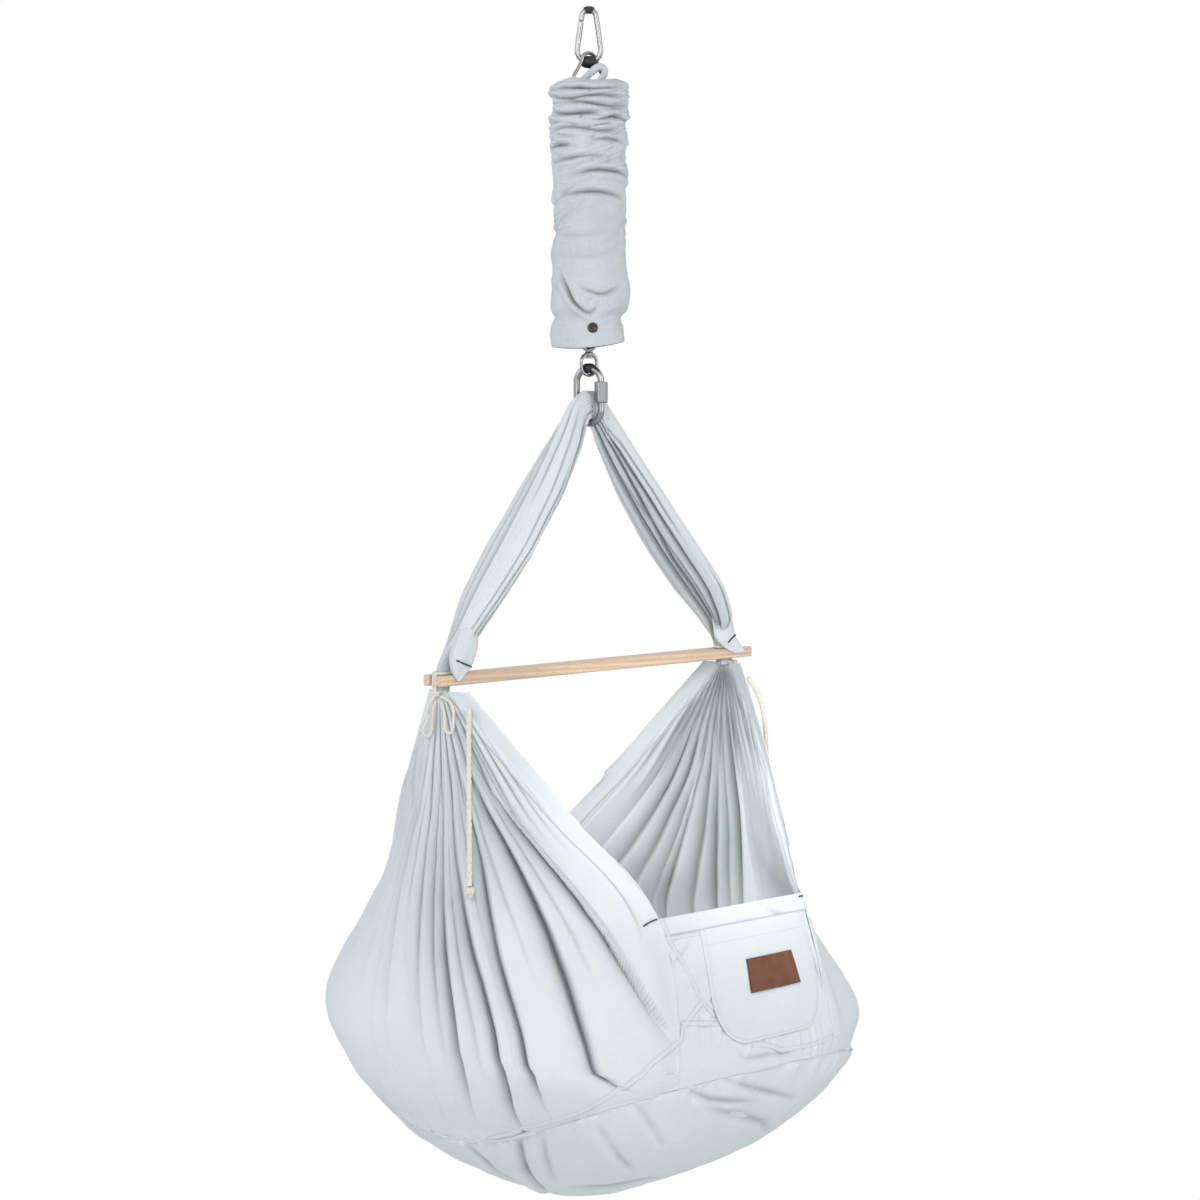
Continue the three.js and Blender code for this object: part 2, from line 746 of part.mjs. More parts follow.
// The spreader bar: a flat beech bar, slotted at both ends
function barGeometry() {
  const half = barLength / 2;
  const outline = new THREE.Shape();
  const side = barWidth / 2;
  const slot = slotWidth / 2;
  const round = tineRound;
  const floor = half - slotDepth;
  outline.moveTo(-half + round, -side);
  outline.lineTo(half - round, -side);
  outline.quadraticCurveTo(half, -side, half, -side + round);
  outline.lineTo(half, -slot - round / 2);
  outline.quadraticCurveTo(half, -slot, half - round / 2, -slot);
  outline.lineTo(floor, -slot);
  outline.absarc(floor, 0, slot, -Math.PI / 2, Math.PI / 2, true);
  outline.lineTo(half - round / 2, slot);
  outline.quadraticCurveTo(half, slot, half, slot + round / 2);
  outline.lineTo(half, side - round);
  outline.quadraticCurveTo(half, side, half - round, side);
  outline.lineTo(-half + round, side);
  outline.quadraticCurveTo(-half, side, -half, side - round);
  outline.lineTo(-half, slot + round / 2);
  outline.quadraticCurveTo(-half, slot, -half + round / 2, slot);
  outline.lineTo(-floor, slot);
  outline.absarc(-floor, 0, slot, Math.PI / 2, -Math.PI / 2, true);
  outline.lineTo(-half + round / 2, -slot);
  outline.quadraticCurveTo(-half, -slot, -half, -slot - round / 2);
  outline.lineTo(-half, -side + round);
  outline.quadraticCurveTo(-half, -side, -half + round, -side);
  const geometry = new THREE.ExtrudeGeometry(outline, {
    depth: barThick - 2 * barEase, bevelEnabled: true, bevelThickness: barEase,
    bevelSize: barEase, bevelOffset: -barEase, bevelSegments: 1, curveSegments: 5,
  });
  return geometry.translate(barShift, 0, -barDrop - barThick / 2 + barEase);
}

// The strap is a bundle of pleats that runs from one slot over the link to the other
const strapTopShares = { along: 0, rise: 1, wide: 0.21, thick: 1, front: 0 };
const nearStrapShares = [
  strapTopShares,
  { along: 0.06, rise: 0.97, wide: 0.22, thick: 1, front: 0 },
  { along: 0.16, rise: 0.86, wide: 0.55, thick: 1, front: 0 },
  { along: 0.34, rise: 0.665, wide: 0.9, thick: 0.95, front: 0 },
  { along: 0.55, rise: 0.455, wide: 1, thick: 0.9, front: 0 },
  { along: 0.75, rise: 0.265, wide: 0.82, thick: 0.8, front: 0 },
  { along: 0.89, rise: 0.125, wide: 0.5, thick: 0.7, front: 0.05 },
  { along: 0.965, rise: 0.055, wide: 0.14, thick: 0.6, front: 0 },
  { along: 1, rise: 0, wide: 0.126, thick: 0.6, front: 0 },
];
const farStrapShares = [
  strapTopShares,
  { along: 0.06, rise: 0.97, wide: 0.22, thick: 1, front: 0 },
  { along: 0.16, rise: 0.86, wide: 0.55, thick: 1, front: 0 },
  { along: 0.34, rise: 0.665, wide: 0.92, thick: 0.95, front: 0.05 },
  { along: 0.55, rise: 0.455, wide: 1.12, thick: 0.9, front: 0.16 },
  { along: 0.75, rise: 0.265, wide: 1.12, thick: 0.8, front: 0.34 },
  { along: 0.89, rise: 0.125, wide: 0.68, thick: 0.7, front: 0.36 },
  { along: 0.965, rise: 0.055, wide: 0.14, thick: 0.6, front: 0.02 },
  { along: 1, rise: 0, wide: 0.126, thick: 0.6, front: 0 },
];
const strapTopCentre = linkSeatZ + linkWire / 2 + strapSeatGap + strapHeight / 2;
const strapLow = -barDrop + barThick / 2 + touchGap;
const neckLow = -barDrop - barThick / 2 - neckDrop;
const fanTop = neckLow - touchGap;

function strapRings(side) {
  const shares = side < 0 ? nearStrapShares : farStrapShares;
  const points = shares.map((s) => P3(side * gatherReach * s.along, -strapHalfWidth * s.front,
    strapLow + (strapTopCentre - strapLow) * s.rise));
  const curve = new THREE.CatmullRomCurve3(points, false, 'centripetal');
  const spline = (pick) => new THREE.SplineCurve(shares.map((s, i) => new THREE.Vector2(i, pick(s))));
  const widths = spline((s) => s.wide * strapHalfWidth);
  const thicks = spline((s) => s.thick * strapHalfThick);
  return { curve, widths, thicks };
}

function strapGeometry() {
  const rings = [];
  const around = 14;
  const steps = 13;
  const ringAt = (centre, direction, wide, thick, pleat) => {
    const up = P3(0, 1, 0).cross(direction).normalize();
    if (up.z < 0) up.negate();
    const points = [];
    for (let i = 0; i < around; i += 1) {
      const turn = (2 * Math.PI * i) / around;
      const fold = 1 + pleat * (i % 2 === 0 ? 1 : -1);
      points.push(centre.clone()
        .addScaledVector(P3(0, 1, 0), wide * Math.cos(turn) * fold)
        .addScaledVector(up, thick * Math.sin(turn) * fold));
    }
    return points;
  };
  const neck = [neckLow, -barDrop - barThick / 2, strapLow - touchGap];
  const half = (side, order) => {
    const { curve, widths, thicks } = strapRings(side);
    const list = [];
    for (let i = 1; i < steps; i += 1) {
      const share = i / steps;
      const direction = curve.getTangent(share).multiplyScalar(side);
      const pleat = strapPleatShare * Math.sin(Math.PI * share);
      list.push(ringAt(curve.getPoint(share), direction, widths.getPoint(share).y,
        thicks.getPoint(share).y, pleat));
    }
    const sinkWidth = slotWidth / 2 - 2 * touchGap;
    for (const z of neck.slice().reverse()) {
      list.push(ringAt(P3(side * gatherReach, 0, z), P3(0, 0, -side), sinkWidth,
        neckDepth, 0));
    }
    return order > 0 ? list : list.reverse();
  };
  const apex = ringAt(P3(0, 0, strapTopCentre), P3(1, 0, 0),
    strapTopShares.wide * strapHalfWidth, strapTopShares.thick * strapHalfThick, 0);
  rings.push(...half(-1, -1), apex, ...half(1, 1));
  const bundle = skin(rings, false);
  const seat = strapSeat();
  return cut(bundle, seat);
}

// What the link's lower bow sweeps as the strap rocks on it
function strapSeat() {
  const steps = 8;
  const reach = linkBend - linkWire / 2 - touchGap;
  const profile = [[0, -reach]];
  for (let i = 0; i <= steps; i += 1) {
    const y = -reach + (2 * reach * i) / steps;
    const rise = linkBend - Math.sqrt(linkBend * linkBend - y * y);
    profile.push([linkWire / 2 + strapSeatGap + rise, y]);
  }
  profile.push([0, reach]);
  const points = profile.map(([radius, height]) => new THREE.Vector2(radius, height));
  return new THREE.LatheGeometry(points, 24).rotateZ(Math.PI / 2).rotateZ(linkTurn)
    .translate(0, 0, linkSeatZ);
}

// The cradle's body surface: plan angle 0 at +X, -90 degrees at the front
function bellyPlan(angle) {
  const c = Math.cos(angle);
  const s = Math.sin(angle);
  const power = 2 / (s < 0 ? bellyFrontPower : bellyBackPower);
  const width = s < 0 ? bellyFront : bellyBack;
  return P3(bellyLength * Math.sign(c) * Math.abs(c) ** power,
    width * Math.sign(s) * Math.abs(s) ** power, -bellyDrop + bellyTilt * s);
}

function bowl(angle, share) {
  const plan = bellyPlan(angle);
  const out = Math.sin((share * Math.PI) / 2) ** bowlPower;
  const down = Math.cos((share * Math.PI) / 2) ** bowlPower;
  return P3(plan.x * out, plan.y * out, plan.z - (bottomDrop + plan.z) * down);
}

function seamShare(angle) {
  return endSeamShare + sideSeamRiseShare * Math.abs(Math.sin(angle)) ** sideSeamPower;
}

function endAngle(side, s) {
  const half = Math.PI / 2 - sideSeamAngle;
  const turn = -half + 2 * half * s;
  return side > 0 ? turn : Math.PI - turn;
}

function rimCorner(side, front) {
  return P3(side * rimHalf, front ? -rimFront : rimBack, -rimDrop);
}

// One down-line of an end panel, from the gather to the base seam
function endLine(side, s) {
  const angle = endAngle(side, s);
  const c = Math.cos(Math.PI * s);
  const round = Math.sin(Math.PI * s);
  const front = side < 0 ? nearHemFront : farHemFront;
  const back = side < 0 ? nearHemBack : farHemBack;
  const spread = (c > 0 ? front : back) * (hemCrowdShare * c ** 3 + (1 - hemCrowdShare) * c);
  const top = P3(side * (gatherReach + neckDepth * neckOutShare * round), -spread, fanTop);
  const belly = bellyPlan(angle);
  const reach = rimHalf + (rimEndReach - rimHalf) * (1 - Math.abs(c) ** rimEndPower);
  const shoulder = P3(side * reach, -(c > 0 ? rimFront : rimBack) * c, -rimDrop);
  const upper = top.clone().lerp(shoulder, 0.5);
  upper.x += side * hemBow * c * c;
  upper.y -= hemBow * c;
  const seam = seamShare(angle);
  const points = [top, upper, shoulder, belly, bowl(angle, (1 + seam) / 2), bowl(angle, seam)];
  return new THREE.CatmullRomCurve3(points, false, 'centripetal');
}

const endLines = new Map();
function endPlace(side, s, r) {
  const key = `${side} ${s.toFixed(5)}`;
  if (!endLines.has(key)) endLines.set(key, endLine(side, s));
  return endLines.get(key).getPoint(r);
}

// Main folds of an end panel run down from the gather and fade out before the seam
function endFold(s, r) {
  if (r >= foldEndShare) return 0;
  const swell = Math.sin((Math.PI * r) / foldEndShare) ** foldPower;
  const edge = Math.min(1, Math.min(s, 1 - s) / foldEdgeShare);
  return foldHeight * swell * edge * Math.cos(2 * Math.PI * foldCount * s);
}

function endPanel(side) {
  const inset = seamGap / bellyLength;
  const base = (s, r) => endPlace(side, inset + (1 - 2 * inset) * s, r * (1 - 0.8 * inset));
  const folded = (s, r) => {
    const small = 2e-3;
    const alongS = base(Math.min(1, s + small), r).sub(base(Math.max(0, s - small), r));
    const alongR = base(s, Math.min(1, r + small)).sub(base(s, Math.max(0, r - small)));
    const normal = alongS.cross(alongR).normalize();
    return base(s, r).addScaledVector(normal, endFold(s, r));
  };
  return sheet(20, 12, folded, clothThick);
}

// A side panel hangs from its rim to the base seam; its edges are those of the end panels
const cornerShare = 2 / 5;

function sideCurve(front, u) {
  const mid = front ? -Math.PI / 2 : Math.PI / 2;
  const angle = mid + (front ? 1 : -1) * sideSeamAngle * (2 * u - 1);
  const top = rimCorner(-1, front).lerp(rimCorner(1, front), u);
  const seam = seamShare(angle);
  const points = [top, bellyPlan(angle), bowl(angle, (1 + seam) / 2), bowl(angle, seam)];
  return new THREE.CatmullRomCurve3(points, false, 'centripetal');
}

function sidePlace(front, u, v) {
  const place = sideCurve(front, u).getPoint(v);
  for (const [side, share] of [[-1, 1 - u], [1, u]]) {
    const own = sideCurve(front, side < 0 ? 0 : 1).getPoint(v);
    const edge = endPlace(side, front ? 0 : 1, cornerShare + (1 - cornerShare) * v);
    place.addScaledVector(edge.sub(own), share);
  }
  return place;
}

function sidePanel(front, grow = 0) {
  const inset = seamGap / rimHalf;
  const place = (u, v) => sidePlace(front, inset + (1 - 2 * inset) * u, v * (1 - 0.35 * inset));
  return sheet(8, 8, place, clothThick + 2 * grow);
}

// The base is a bowl whose edge meets the four panels along one seam
const baseSides = 28;
const baseRows = 6;

function basePoint(angle, share) {
  const inset = seamGap / bellyBack / 2;
  return bowl(angle, (seamShare(angle) - inset) * share);
}

function lifted(point, lift) {
  const shrink = 1 - (lift * liftInShare) / bellyLength;
  return P3(point.x * shrink, point.y * shrink, point.z + lift);
}

function basePanel() {
  const rings = (lift) => {
    const list = [];
    for (let j = 1; j <= baseRows; j += 1) {
      const ring = [];
      for (let i = 0; i < baseSides; i += 1) {
        ring.push(lifted(basePoint((2 * Math.PI * i) / baseSides, j / baseRows), lift));
      }
      list.push(ring);
    }
    return list;
  };
  return skin([...rings(0), ...rings(clothThick).reverse()], false);
}

// The mattress lies in the bowl and follows its facets, so its corners stand over the base's
function mattress() {
  const around = baseSides;
  const place = (angle, share, lift) => lifted(basePoint(angle, share), lift);
  const floor = clothThick + mattressLift;
  const rings = [];
  for (let row = 1; row < baseRows; row += 1) rings.push([row / baseRows, floor]);
  for (const [share, rise] of mattressSideShares) {
    rings.push([mattressEdgeShare * share, floor + mattressThick * rise]);
  }
  for (const share of mattressTopShares) {
    const crown = mattressThick * (1 + mattressCrownShare * (1 - share * share));
    rings.push([share, floor + crown]);
  }
  const list = rings.map(([share, lift]) => {
    const ring = [];
    for (let i = 0; i < around; i += 1) ring.push(place((2 * Math.PI * i) / around, share, lift));
    return ring;
  });
  return skin(list.reverse(), false);
}

// The pocket is a second layer on the front panel, round at its foot
function pocketPlace(u, v) {
  const rounded = Math.sqrt(Math.max(pocketFootShare, 1 - (v * pocketRoundShare) ** 3));
  const half = pocketHalfShare * rounded;
  return sidePlace(true, pocketMiddleShare + half * (2 * u - 1),
    pocketTopShare + pocketDepthShare * v);
}

function labelPlace(u, v) {
  return sidePlace(true, labelAcrossShare + labelHalfShare * (2 * u - 1),
    labelMiddleShare + labelHeightShare * (v - 0.5));
}

// A layer's sheet starts inside what it lies on and is cut back to a small gap from it
function layer(across, along, place, from, to, under) {
  return cut(sheet(across, along, place, to - from, -(from + to) / 2), under);
}

function clothPieces() {
  const group = new THREE.Group();
  const panelSkin = clothThick / 2;
  const pocketSkin = panelSkin + touchGap + clothThick;
  group.add(piece('near_end_panel', endPanel(-1), 'cotton'));
  group.add(piece('far_end_panel', endPanel(1), 'cotton'));
  group.add(piece('front_panel', sidePanel(true), 'cotton'));
  group.add(piece('back_panel', sidePanel(false), 'cotton'));
  group.add(piece('base_panel', basePanel(), 'cotton'));
  group.add(piece('pocket', layer(8, 10, pocketPlace, 0, pocketSkin,
    sidePanel(true, touchGap)), 'cotton'));
  const pocketGrown = sheet(8, 10, pocketPlace, 2 * touchGap + clothThick,
    -pocketSkin + clothThick / 2);
  group.add(piece('leather_label', layer(4, 4, labelPlace, panelSkin + touchGap + clothThick / 2,
    pocketSkin + touchGap + labelThick, pocketGrown), 'leather'));
  group.add(piece('mattress', mattress(), 'cotton'));
  return group;
}

// Points of the hanging loops: to the right of the knot, towards the front, and up
const loopRight = new THREE.Vector2(0.669, -0.743);
const nearKnotPast = 17;
const farKnotPast = 20;
const nearKnotDrop = 16.5;
const farKnotDrop = 14.5;
const knotFront = 6;
const nearKnot = [-gatherReach - nearKnotPast, -knotFront, -barDrop - nearKnotDrop];
const farKnot = [gatherReach + farKnotPast, -knotFront, -barDrop - farKnotDrop];
const nearLeftLoop = [[-3.2, 2.2, -3.8], [-9, 4, -11], [-12, 5, -19], [-12, 5, -32], [-16, 6, -42],
  [-17, 6, -49], [-11, 6, -53], [-6, 6, -47], [-5, 5, -34], [-4, 4, -20], [-1, 3, -9]];
const nearRightLoop = [[4.8, 3.4, -2.8], [12, 6, -6], [18, 9, -10], [22, 13, -19], [22, 16, -31],
  [21, 19, -43], [16, 20, -48], [11, 19, -42], [11, 16, -30], [9, 11, -19], [5, 7, -10]];
const farLoop = [[3.2, 2.2, -3.9], [8, 3, -13], [13, 4, -26], [18, 4, -36], [18, 4, -45],
  [12, 4, -50], [7, 4, -44], [8, 4, -34], [5, 4, -24], [0, 3, -12]];
const nearDrawstringRoute = [[-279.4, -48.2, -893], [-282, -51, -903], [-284, -52, -922],
  [-287, -55, -950], [-290, -58, -985], [-294, -62, -1020], [-301, -69, -1055],
  [-306, -74, -1085], [-311, -79, -1112]];
const farDrawstringRoute = [[274.6, -48.2, -891], [277, -56, -902], [279, -67, -922],
  [280, -74, -950], [281, -76, -985], [282, -76, -1020], [286, -77, -1055], [290, -78, -1085],
  [295, -81, -1112]];

function loopPoint(knot, [right, front, up]) {
  return P3(knot[0] + right * loopRight.x + front * loopRight.y,
    knot[1] + right * loopRight.y - front * loopRight.x, knot[2] + up);
}

function tieLoop(knot, route) {
  const curve = new THREE.CatmullRomCurve3(route.map((p) => loopPoint(knot, p)));
  return tube(curve, tieRadius, 20, 6);
}

// A tie cord rings the strap on top of the bar, drops through the slot and ends in its knot
function tieCord(side, knot) {
  const gather = side * gatherReach;
  const ringX = neckDepth + touchGap * 2 + tieRadius;
  const ringY = slotWidth / 2 + touchGap + tieRadius;
  const z = strapLow + tieRadius;
  const rings = [];
  for (let i = 0; i < 16; i += 1) {
    const turn = (2 * Math.PI * i) / 16;
    const out = P3(Math.cos(turn) * ringX, Math.sin(turn) * ringY, 0);
    const away = P3(Math.cos(turn) / ringX, Math.sin(turn) / ringY, 0).normalize();
    const ring = [];
    for (let j = 0; j < 8; j += 1) {
      const around = (2 * Math.PI * j) / 8;
      ring.push(P3(gather, 0, z).add(out).addScaledVector(away, tieRadius * Math.cos(around))
        .add(P3(0, 0, tieRadius * Math.sin(around))));
    }
    rings.push(ring);
  }
  const drops = [-1, 1].map((hand) => {
    const x = gather + side * (ringX + touchGap);
    const y = hand * (tieRadius + touchGap / 2);
    const below = P3(x, y, -barDrop - barThick / 2 - tieRadius);
    return tube(new Polyline([P3(x, y, z), below, P3(...knot)]), tieRadius, 6, 8);
  });
  const lump = new THREE.SphereGeometry(tieKnotRadius, 10, 8).scale(1, 1, knotFlatShare)
    .translate(...knot);
  return join(skin(rings, true), ...drops, lump);
}

function drawstring(route) {
  const curve = new THREE.CatmullRomCurve3(route.map((p) => P3(...p)));
  return tube(curve, drawRadius, 18, 8);
}

function drawKnot(route) {
  const end = route[route.length - 1];
  const lump = new THREE.SphereGeometry(knotRadius, 12, 8);
  lump.scale(knotSlimShare, knotSlimShare, knotFlatShare);
  const tail = rod(drawRadius, knotRadius, 10).rotateX(Math.PI / 2)
    .translate(0, 0, -knotRadius * knotFlatShare);
  const place = -knotRadius * knotFlatShare - touchGap;
  return join(lump, tail).translate(end[0], end[1], end[2] + place);
}

// The hem band of the strap ends in a pointed tab over the bar's front face
function strapTab(x) {
  const half = tabWidth / 2;
  const outline = new THREE.Shape(tabOutlineShares.map(([across, up]) => (
    new THREE.Vector2(half * across, tabHeight * up))));
  const plate = new THREE.ExtrudeGeometry(outline, { depth: clothThick, bevelEnabled: false });
  plate.rotateX(Math.PI / 2);
  return plate.translate(x, -barWidth / 2 - touchGap, -barDrop - tabPointDrop);
}

const cradle = new THREE.Group();
cradle.add(hookGroup());
cradle.add(piece('spring_loop', springLoop(), 'steel'));
cradle.add(piece('spring_upper_plug', upperPlug(), 'plastic'));
cradle.add(piece('tension_spring', springGeometry(), 'springSteel'));
cradle.add(piece('safety_rope', safetyRope(), 'cord'));
cradle.add(piece('spring_lower_plug', lowerPlug(), 'plastic'));
cradle.add(piece('spring_cover', coverGeometry(), 'cotton'));
cradle.add(swivelPieces());
cradle.add(linkPieces());
cradle.add(piece('spreader_bar', barGeometry(), 'beech'));
cradle.add(piece('sling_strap', strapGeometry(), 'cotton'));
cradle.add(piece('near_strap_tab', strapTab(-nearTabReach), 'cotton'));
cradle.add(piece('far_strap_tab', strapTab(farTabReach), 'cotton'));
cradle.add(clothPieces());
cradle.add(piece('near_tie_cord', tieCord(-1, nearKnot), 'cord'));
cradle.add(piece('far_tie_cord', tieCord(1, farKnot), 'cord'));
cradle.add(piece('near_tie_loop_left', tieLoop(nearKnot, nearLeftLoop), 'cord'));
cradle.add(piece('near_tie_loop_right', tieLoop(nearKnot, nearRightLoop), 'cord'));
cradle.add(piece('far_tie_loop', tieLoop(farKnot, farLoop), 'cord'));
cradle.add(piece('near_drawstring', drawstring(nearDrawstringRoute), 'cord'));
cradle.add(piece('near_drawstring_knot', drawKnot(nearDrawstringRoute), 'cord'));
cradle.add(piece('far_drawstring', drawstring(farDrawstringRoute), 'cord'));
cradle.add(piece('far_drawstring_knot', drawKnot(farDrawstringRoute), 'cord'));

export default cradle;
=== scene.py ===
# %% [markdown]
# A hanging baby cradle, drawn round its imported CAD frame.
# Lengths are metres and the axes are those of the frame: +Z up, X along the spreader bar,
# the pocket towards -Y, and the origin at the snap hook's seat.

# %% The frame and the tools
import math
import bpy
import numpy as np
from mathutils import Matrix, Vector
from mathutils.kdtree import KDTree


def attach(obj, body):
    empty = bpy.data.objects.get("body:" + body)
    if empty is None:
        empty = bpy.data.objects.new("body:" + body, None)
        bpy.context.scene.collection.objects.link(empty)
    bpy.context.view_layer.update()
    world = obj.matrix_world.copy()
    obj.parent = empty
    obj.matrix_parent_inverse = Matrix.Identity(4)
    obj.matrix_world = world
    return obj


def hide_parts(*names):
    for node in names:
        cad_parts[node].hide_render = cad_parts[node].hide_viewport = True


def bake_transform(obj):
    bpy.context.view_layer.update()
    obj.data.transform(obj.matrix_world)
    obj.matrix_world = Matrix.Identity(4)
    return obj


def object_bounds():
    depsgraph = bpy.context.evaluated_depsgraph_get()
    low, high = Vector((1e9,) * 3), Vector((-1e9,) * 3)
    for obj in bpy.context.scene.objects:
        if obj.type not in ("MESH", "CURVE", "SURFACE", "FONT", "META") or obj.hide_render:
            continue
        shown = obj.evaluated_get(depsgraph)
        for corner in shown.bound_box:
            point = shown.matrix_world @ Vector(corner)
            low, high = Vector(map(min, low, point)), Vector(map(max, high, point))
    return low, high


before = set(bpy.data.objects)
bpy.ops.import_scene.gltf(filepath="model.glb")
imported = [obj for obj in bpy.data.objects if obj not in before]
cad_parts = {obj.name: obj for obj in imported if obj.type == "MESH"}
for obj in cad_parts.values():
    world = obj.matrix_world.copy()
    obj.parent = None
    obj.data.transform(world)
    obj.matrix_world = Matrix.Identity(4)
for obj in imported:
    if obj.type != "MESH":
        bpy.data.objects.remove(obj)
cad_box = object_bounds()
MM = 0.001
TAU = 2 * math.pi
print("CAD box in metres", cad_box)


# %% [markdown]
# The camera stands where the photographer stood: 48 degrees to the left of the front, and far
# enough away for the slight convergence of the photograph. A rough place would do for a
# picture. Here it was worked out with care from pieces of known size, because every crease
# that is read in the photograph later on is found on the cloth through this camera.

# %% Camera
VIEW_TURN = math.radians(-48)
CAMERA_DISTANCE = 4.5
CAMERA_HEIGHT = -0.462
CAMERA_PITCH = math.radians(-3.94)
camera_data = bpy.data.cameras.new("camera")
camera = bpy.data.objects.new("camera", camera_data)
bpy.context.scene.collection.objects.link(camera)
VIEW_SIDE = Vector((math.cos(VIEW_TURN), math.sin(VIEW_TURN), 0))
VIEW_IN = Vector((-math.sin(VIEW_TURN), math.cos(VIEW_TURN), 0))
camera.location = VIEW_IN * -CAMERA_DISTANCE + Vector((0, 0, CAMERA_HEIGHT))
look = VIEW_IN * math.cos(CAMERA_PITCH) + Vector((0, 0, math.sin(CAMERA_PITCH)))
camera.rotation_euler = look.to_track_quat("-Z", "Y").to_euler()
camera_data.sensor_width = 36
camera_data.lens = 101.8
camera_data.shift_x = 0.0092
camera_data.clip_end = 50
bpy.context.scene.camera = camera
print("camera at", [round(value, 3) for value in camera.location])


# %% [markdown]
# Every piece below is a mesh that Python makes. Cloth starts as a grid of points that is then
# given its thickness, and wires and cords are round tubes along a path. Modifiers could do
# the same, but a grid of points can be pushed about with plain arithmetic, which is what
# folds and seams need. The helper dress, further down, lets a piece ride its body, take its
# material and hide the CAD node that it stands in for, in one call.

# %% Mesh and curve helpers
def mesh_object(name, points, faces, uvs=None):
    mesh = bpy.data.meshes.new(name)
    mesh.from_pydata(np.asarray(points).tolist(), [], faces)
    if uvs is not None:
        layer = mesh.uv_layers.new(name="UVMap")
        corners = np.empty(len(mesh.loops), dtype=np.int64)
        mesh.loops.foreach_get("vertex_index", corners)
        layer.data.foreach_set("uv", np.asarray(uvs, dtype=float)[corners].ravel())
    mesh.polygons.foreach_set("use_smooth", [True] * len(mesh.polygons))
    mesh.update()
    thing = bpy.data.objects.new(name, mesh)
    bpy.context.scene.collection.objects.link(thing)
    return thing


def paint(thing, **masks):
    # Each mask becomes a float attribute that a material can read
    for name, values in masks.items():
        layer = thing.data.attributes.new(name, "FLOAT", "POINT")
        layer.data.foreach_set("value", np.asarray(values, dtype=float).ravel())


def grid_faces(rows, columns, wrap=False):
    across = columns if wrap else columns - 1
    i, j = np.meshgrid(np.arange(rows - 1), np.arange(across), indexing="ij")
    k = (j + 1) % columns
    quads = np.stack([i * columns + j, i * columns + k, (i + 1) * columns + k,
                      (i + 1) * columns + j], axis=-1)
    return quads.reshape(-1, 4).tolist()


def grid_normals(grid, wrap=False):
    along = np.gradient(grid, axis=0)
    if wrap:
        across = (np.roll(grid, -1, axis=1) - np.roll(grid, 1, axis=1)) / 2
    else:
        across = np.gradient(grid, axis=1)
    normal = np.cross(across, along)
    size = np.linalg.norm(normal, axis=-1, keepdims=True)
    return normal / np.maximum(size, 1e-12)


def thicken(name, grid, thick, wrap=False, uv=None, **masks):
    # A grid of points becomes a closed cloth of even thickness, its outer face first; a mask
    # is laid on both of its faces
    rows, columns = grid.shape[:2]
    normal = grid_normals(grid, wrap)
    outer = grid + normal * (thick / 2)
    inner = grid - normal * (thick / 2)
    count = rows * columns
    faces = grid_faces(rows, columns, wrap)
    faces += [[a + count for a in reversed(face)] for face in grid_faces(rows, columns, wrap)]

    def strip(edge, flip):
        for a, b in zip(edge[:-1], edge[1:]):
            quad = [a, b, b + count, a + count]
            faces.append(quad[::-1] if flip else quad)
    top = list(range(columns)) + ([0] if wrap else [])
    bottom = [(rows - 1) * columns + j for j in range(columns)]
    bottom += [bottom[0]] if wrap else []
    strip(top, True)
    strip(bottom, False)
    if not wrap:
        strip([i * columns for i in range(rows)], False)
        strip([i * columns + columns - 1 for i in range(rows)], True)
    points = np.concatenate([outer.reshape(-1, 3), inner.reshape(-1, 3)])
    uvs = None
    if uv is not None:
        uvs = np.concatenate([uv.reshape(-1, 2)] * 2)
    thing = mesh_object(name, points, faces, uvs)
    for mask, values in masks.items():
        paint(thing, **{mask: np.concatenate([values.ravel()] * 2)})
    return thing


# %% Curves
def catmull(points, t):
    # Centripetal curve through points[k], each an array of places, at shares t
    points = np.asarray(points, dtype=float)
    first = 2 * points[0] - points[1]
    last = 2 * points[-1] - points[-2]
    full = np.concatenate([first[None], points, last[None]])
    spans = len(points) - 1
    steps = np.sqrt(np.linalg.norm(np.diff(full, axis=0), axis=-1, keepdims=True))
    steps = np.maximum(steps, 1e-4)
    result = []
    for share in np.atleast_1d(t):
        k = min(int(share * spans), spans - 1)
        w = share * spans - k
        a, b, c, d = full[k:k + 4]
        before, middle, after = steps[k:k + 3]
        leave = ((b - a) / before - (c - a) / (before + middle) + (c - b) / middle) * middle
        arrive = ((c - b) / middle - (d - b) / (middle + after) + (d - c) / after) * middle
        result.append(b + leave * w + (3 * (c - b) - 2 * leave - arrive) * w ** 2
                      + (2 * (b - c) + leave + arrive) * w ** 3)
    return np.array(result)


def smooth_step(low, high, value):
    share = np.clip((value - low) / (high - low), 0, 1)
    return share * share * (3 - 2 * share)


# %% Capped skins and joined pieces
def capped(rings, start, end):
    # A closed skin round a stack of rings, with a fan of faces over each end
    count, around = rings.shape[:2]
    points = rings.reshape(-1, 3).tolist() + [start.tolist(), end.tolist()]
    faces = grid_faces(count, around, True)
    low, high = count * around, count * around + 1
    last = low - around
    faces += [[low, (j + 1) % around, j] for j in range(around)]
    faces += [[high, last + j, last + (j + 1) % around] for j in range(around)]
    return points, faces


def join(pieces):
    # One object of several, which keeps the first one's name
    bpy.ops.object.select_all(action="DESELECT")
    for piece in pieces:
        piece.select_set(True)
    bpy.context.view_layer.objects.active = pieces[0]
    bpy.ops.object.join()
    return pieces[0]


def walked(path):
    # How far along a path each of its points lies
    steps = np.linalg.norm(np.diff(path, axis=0), axis=1)
    return np.concatenate([[0], np.cumsum(steps)])


def placed(path, reach, goal):
    # Points of a path at the distances in goal
    return np.stack([np.interp(goal, reach, path[:, k]) for k in range(3)], axis=1)


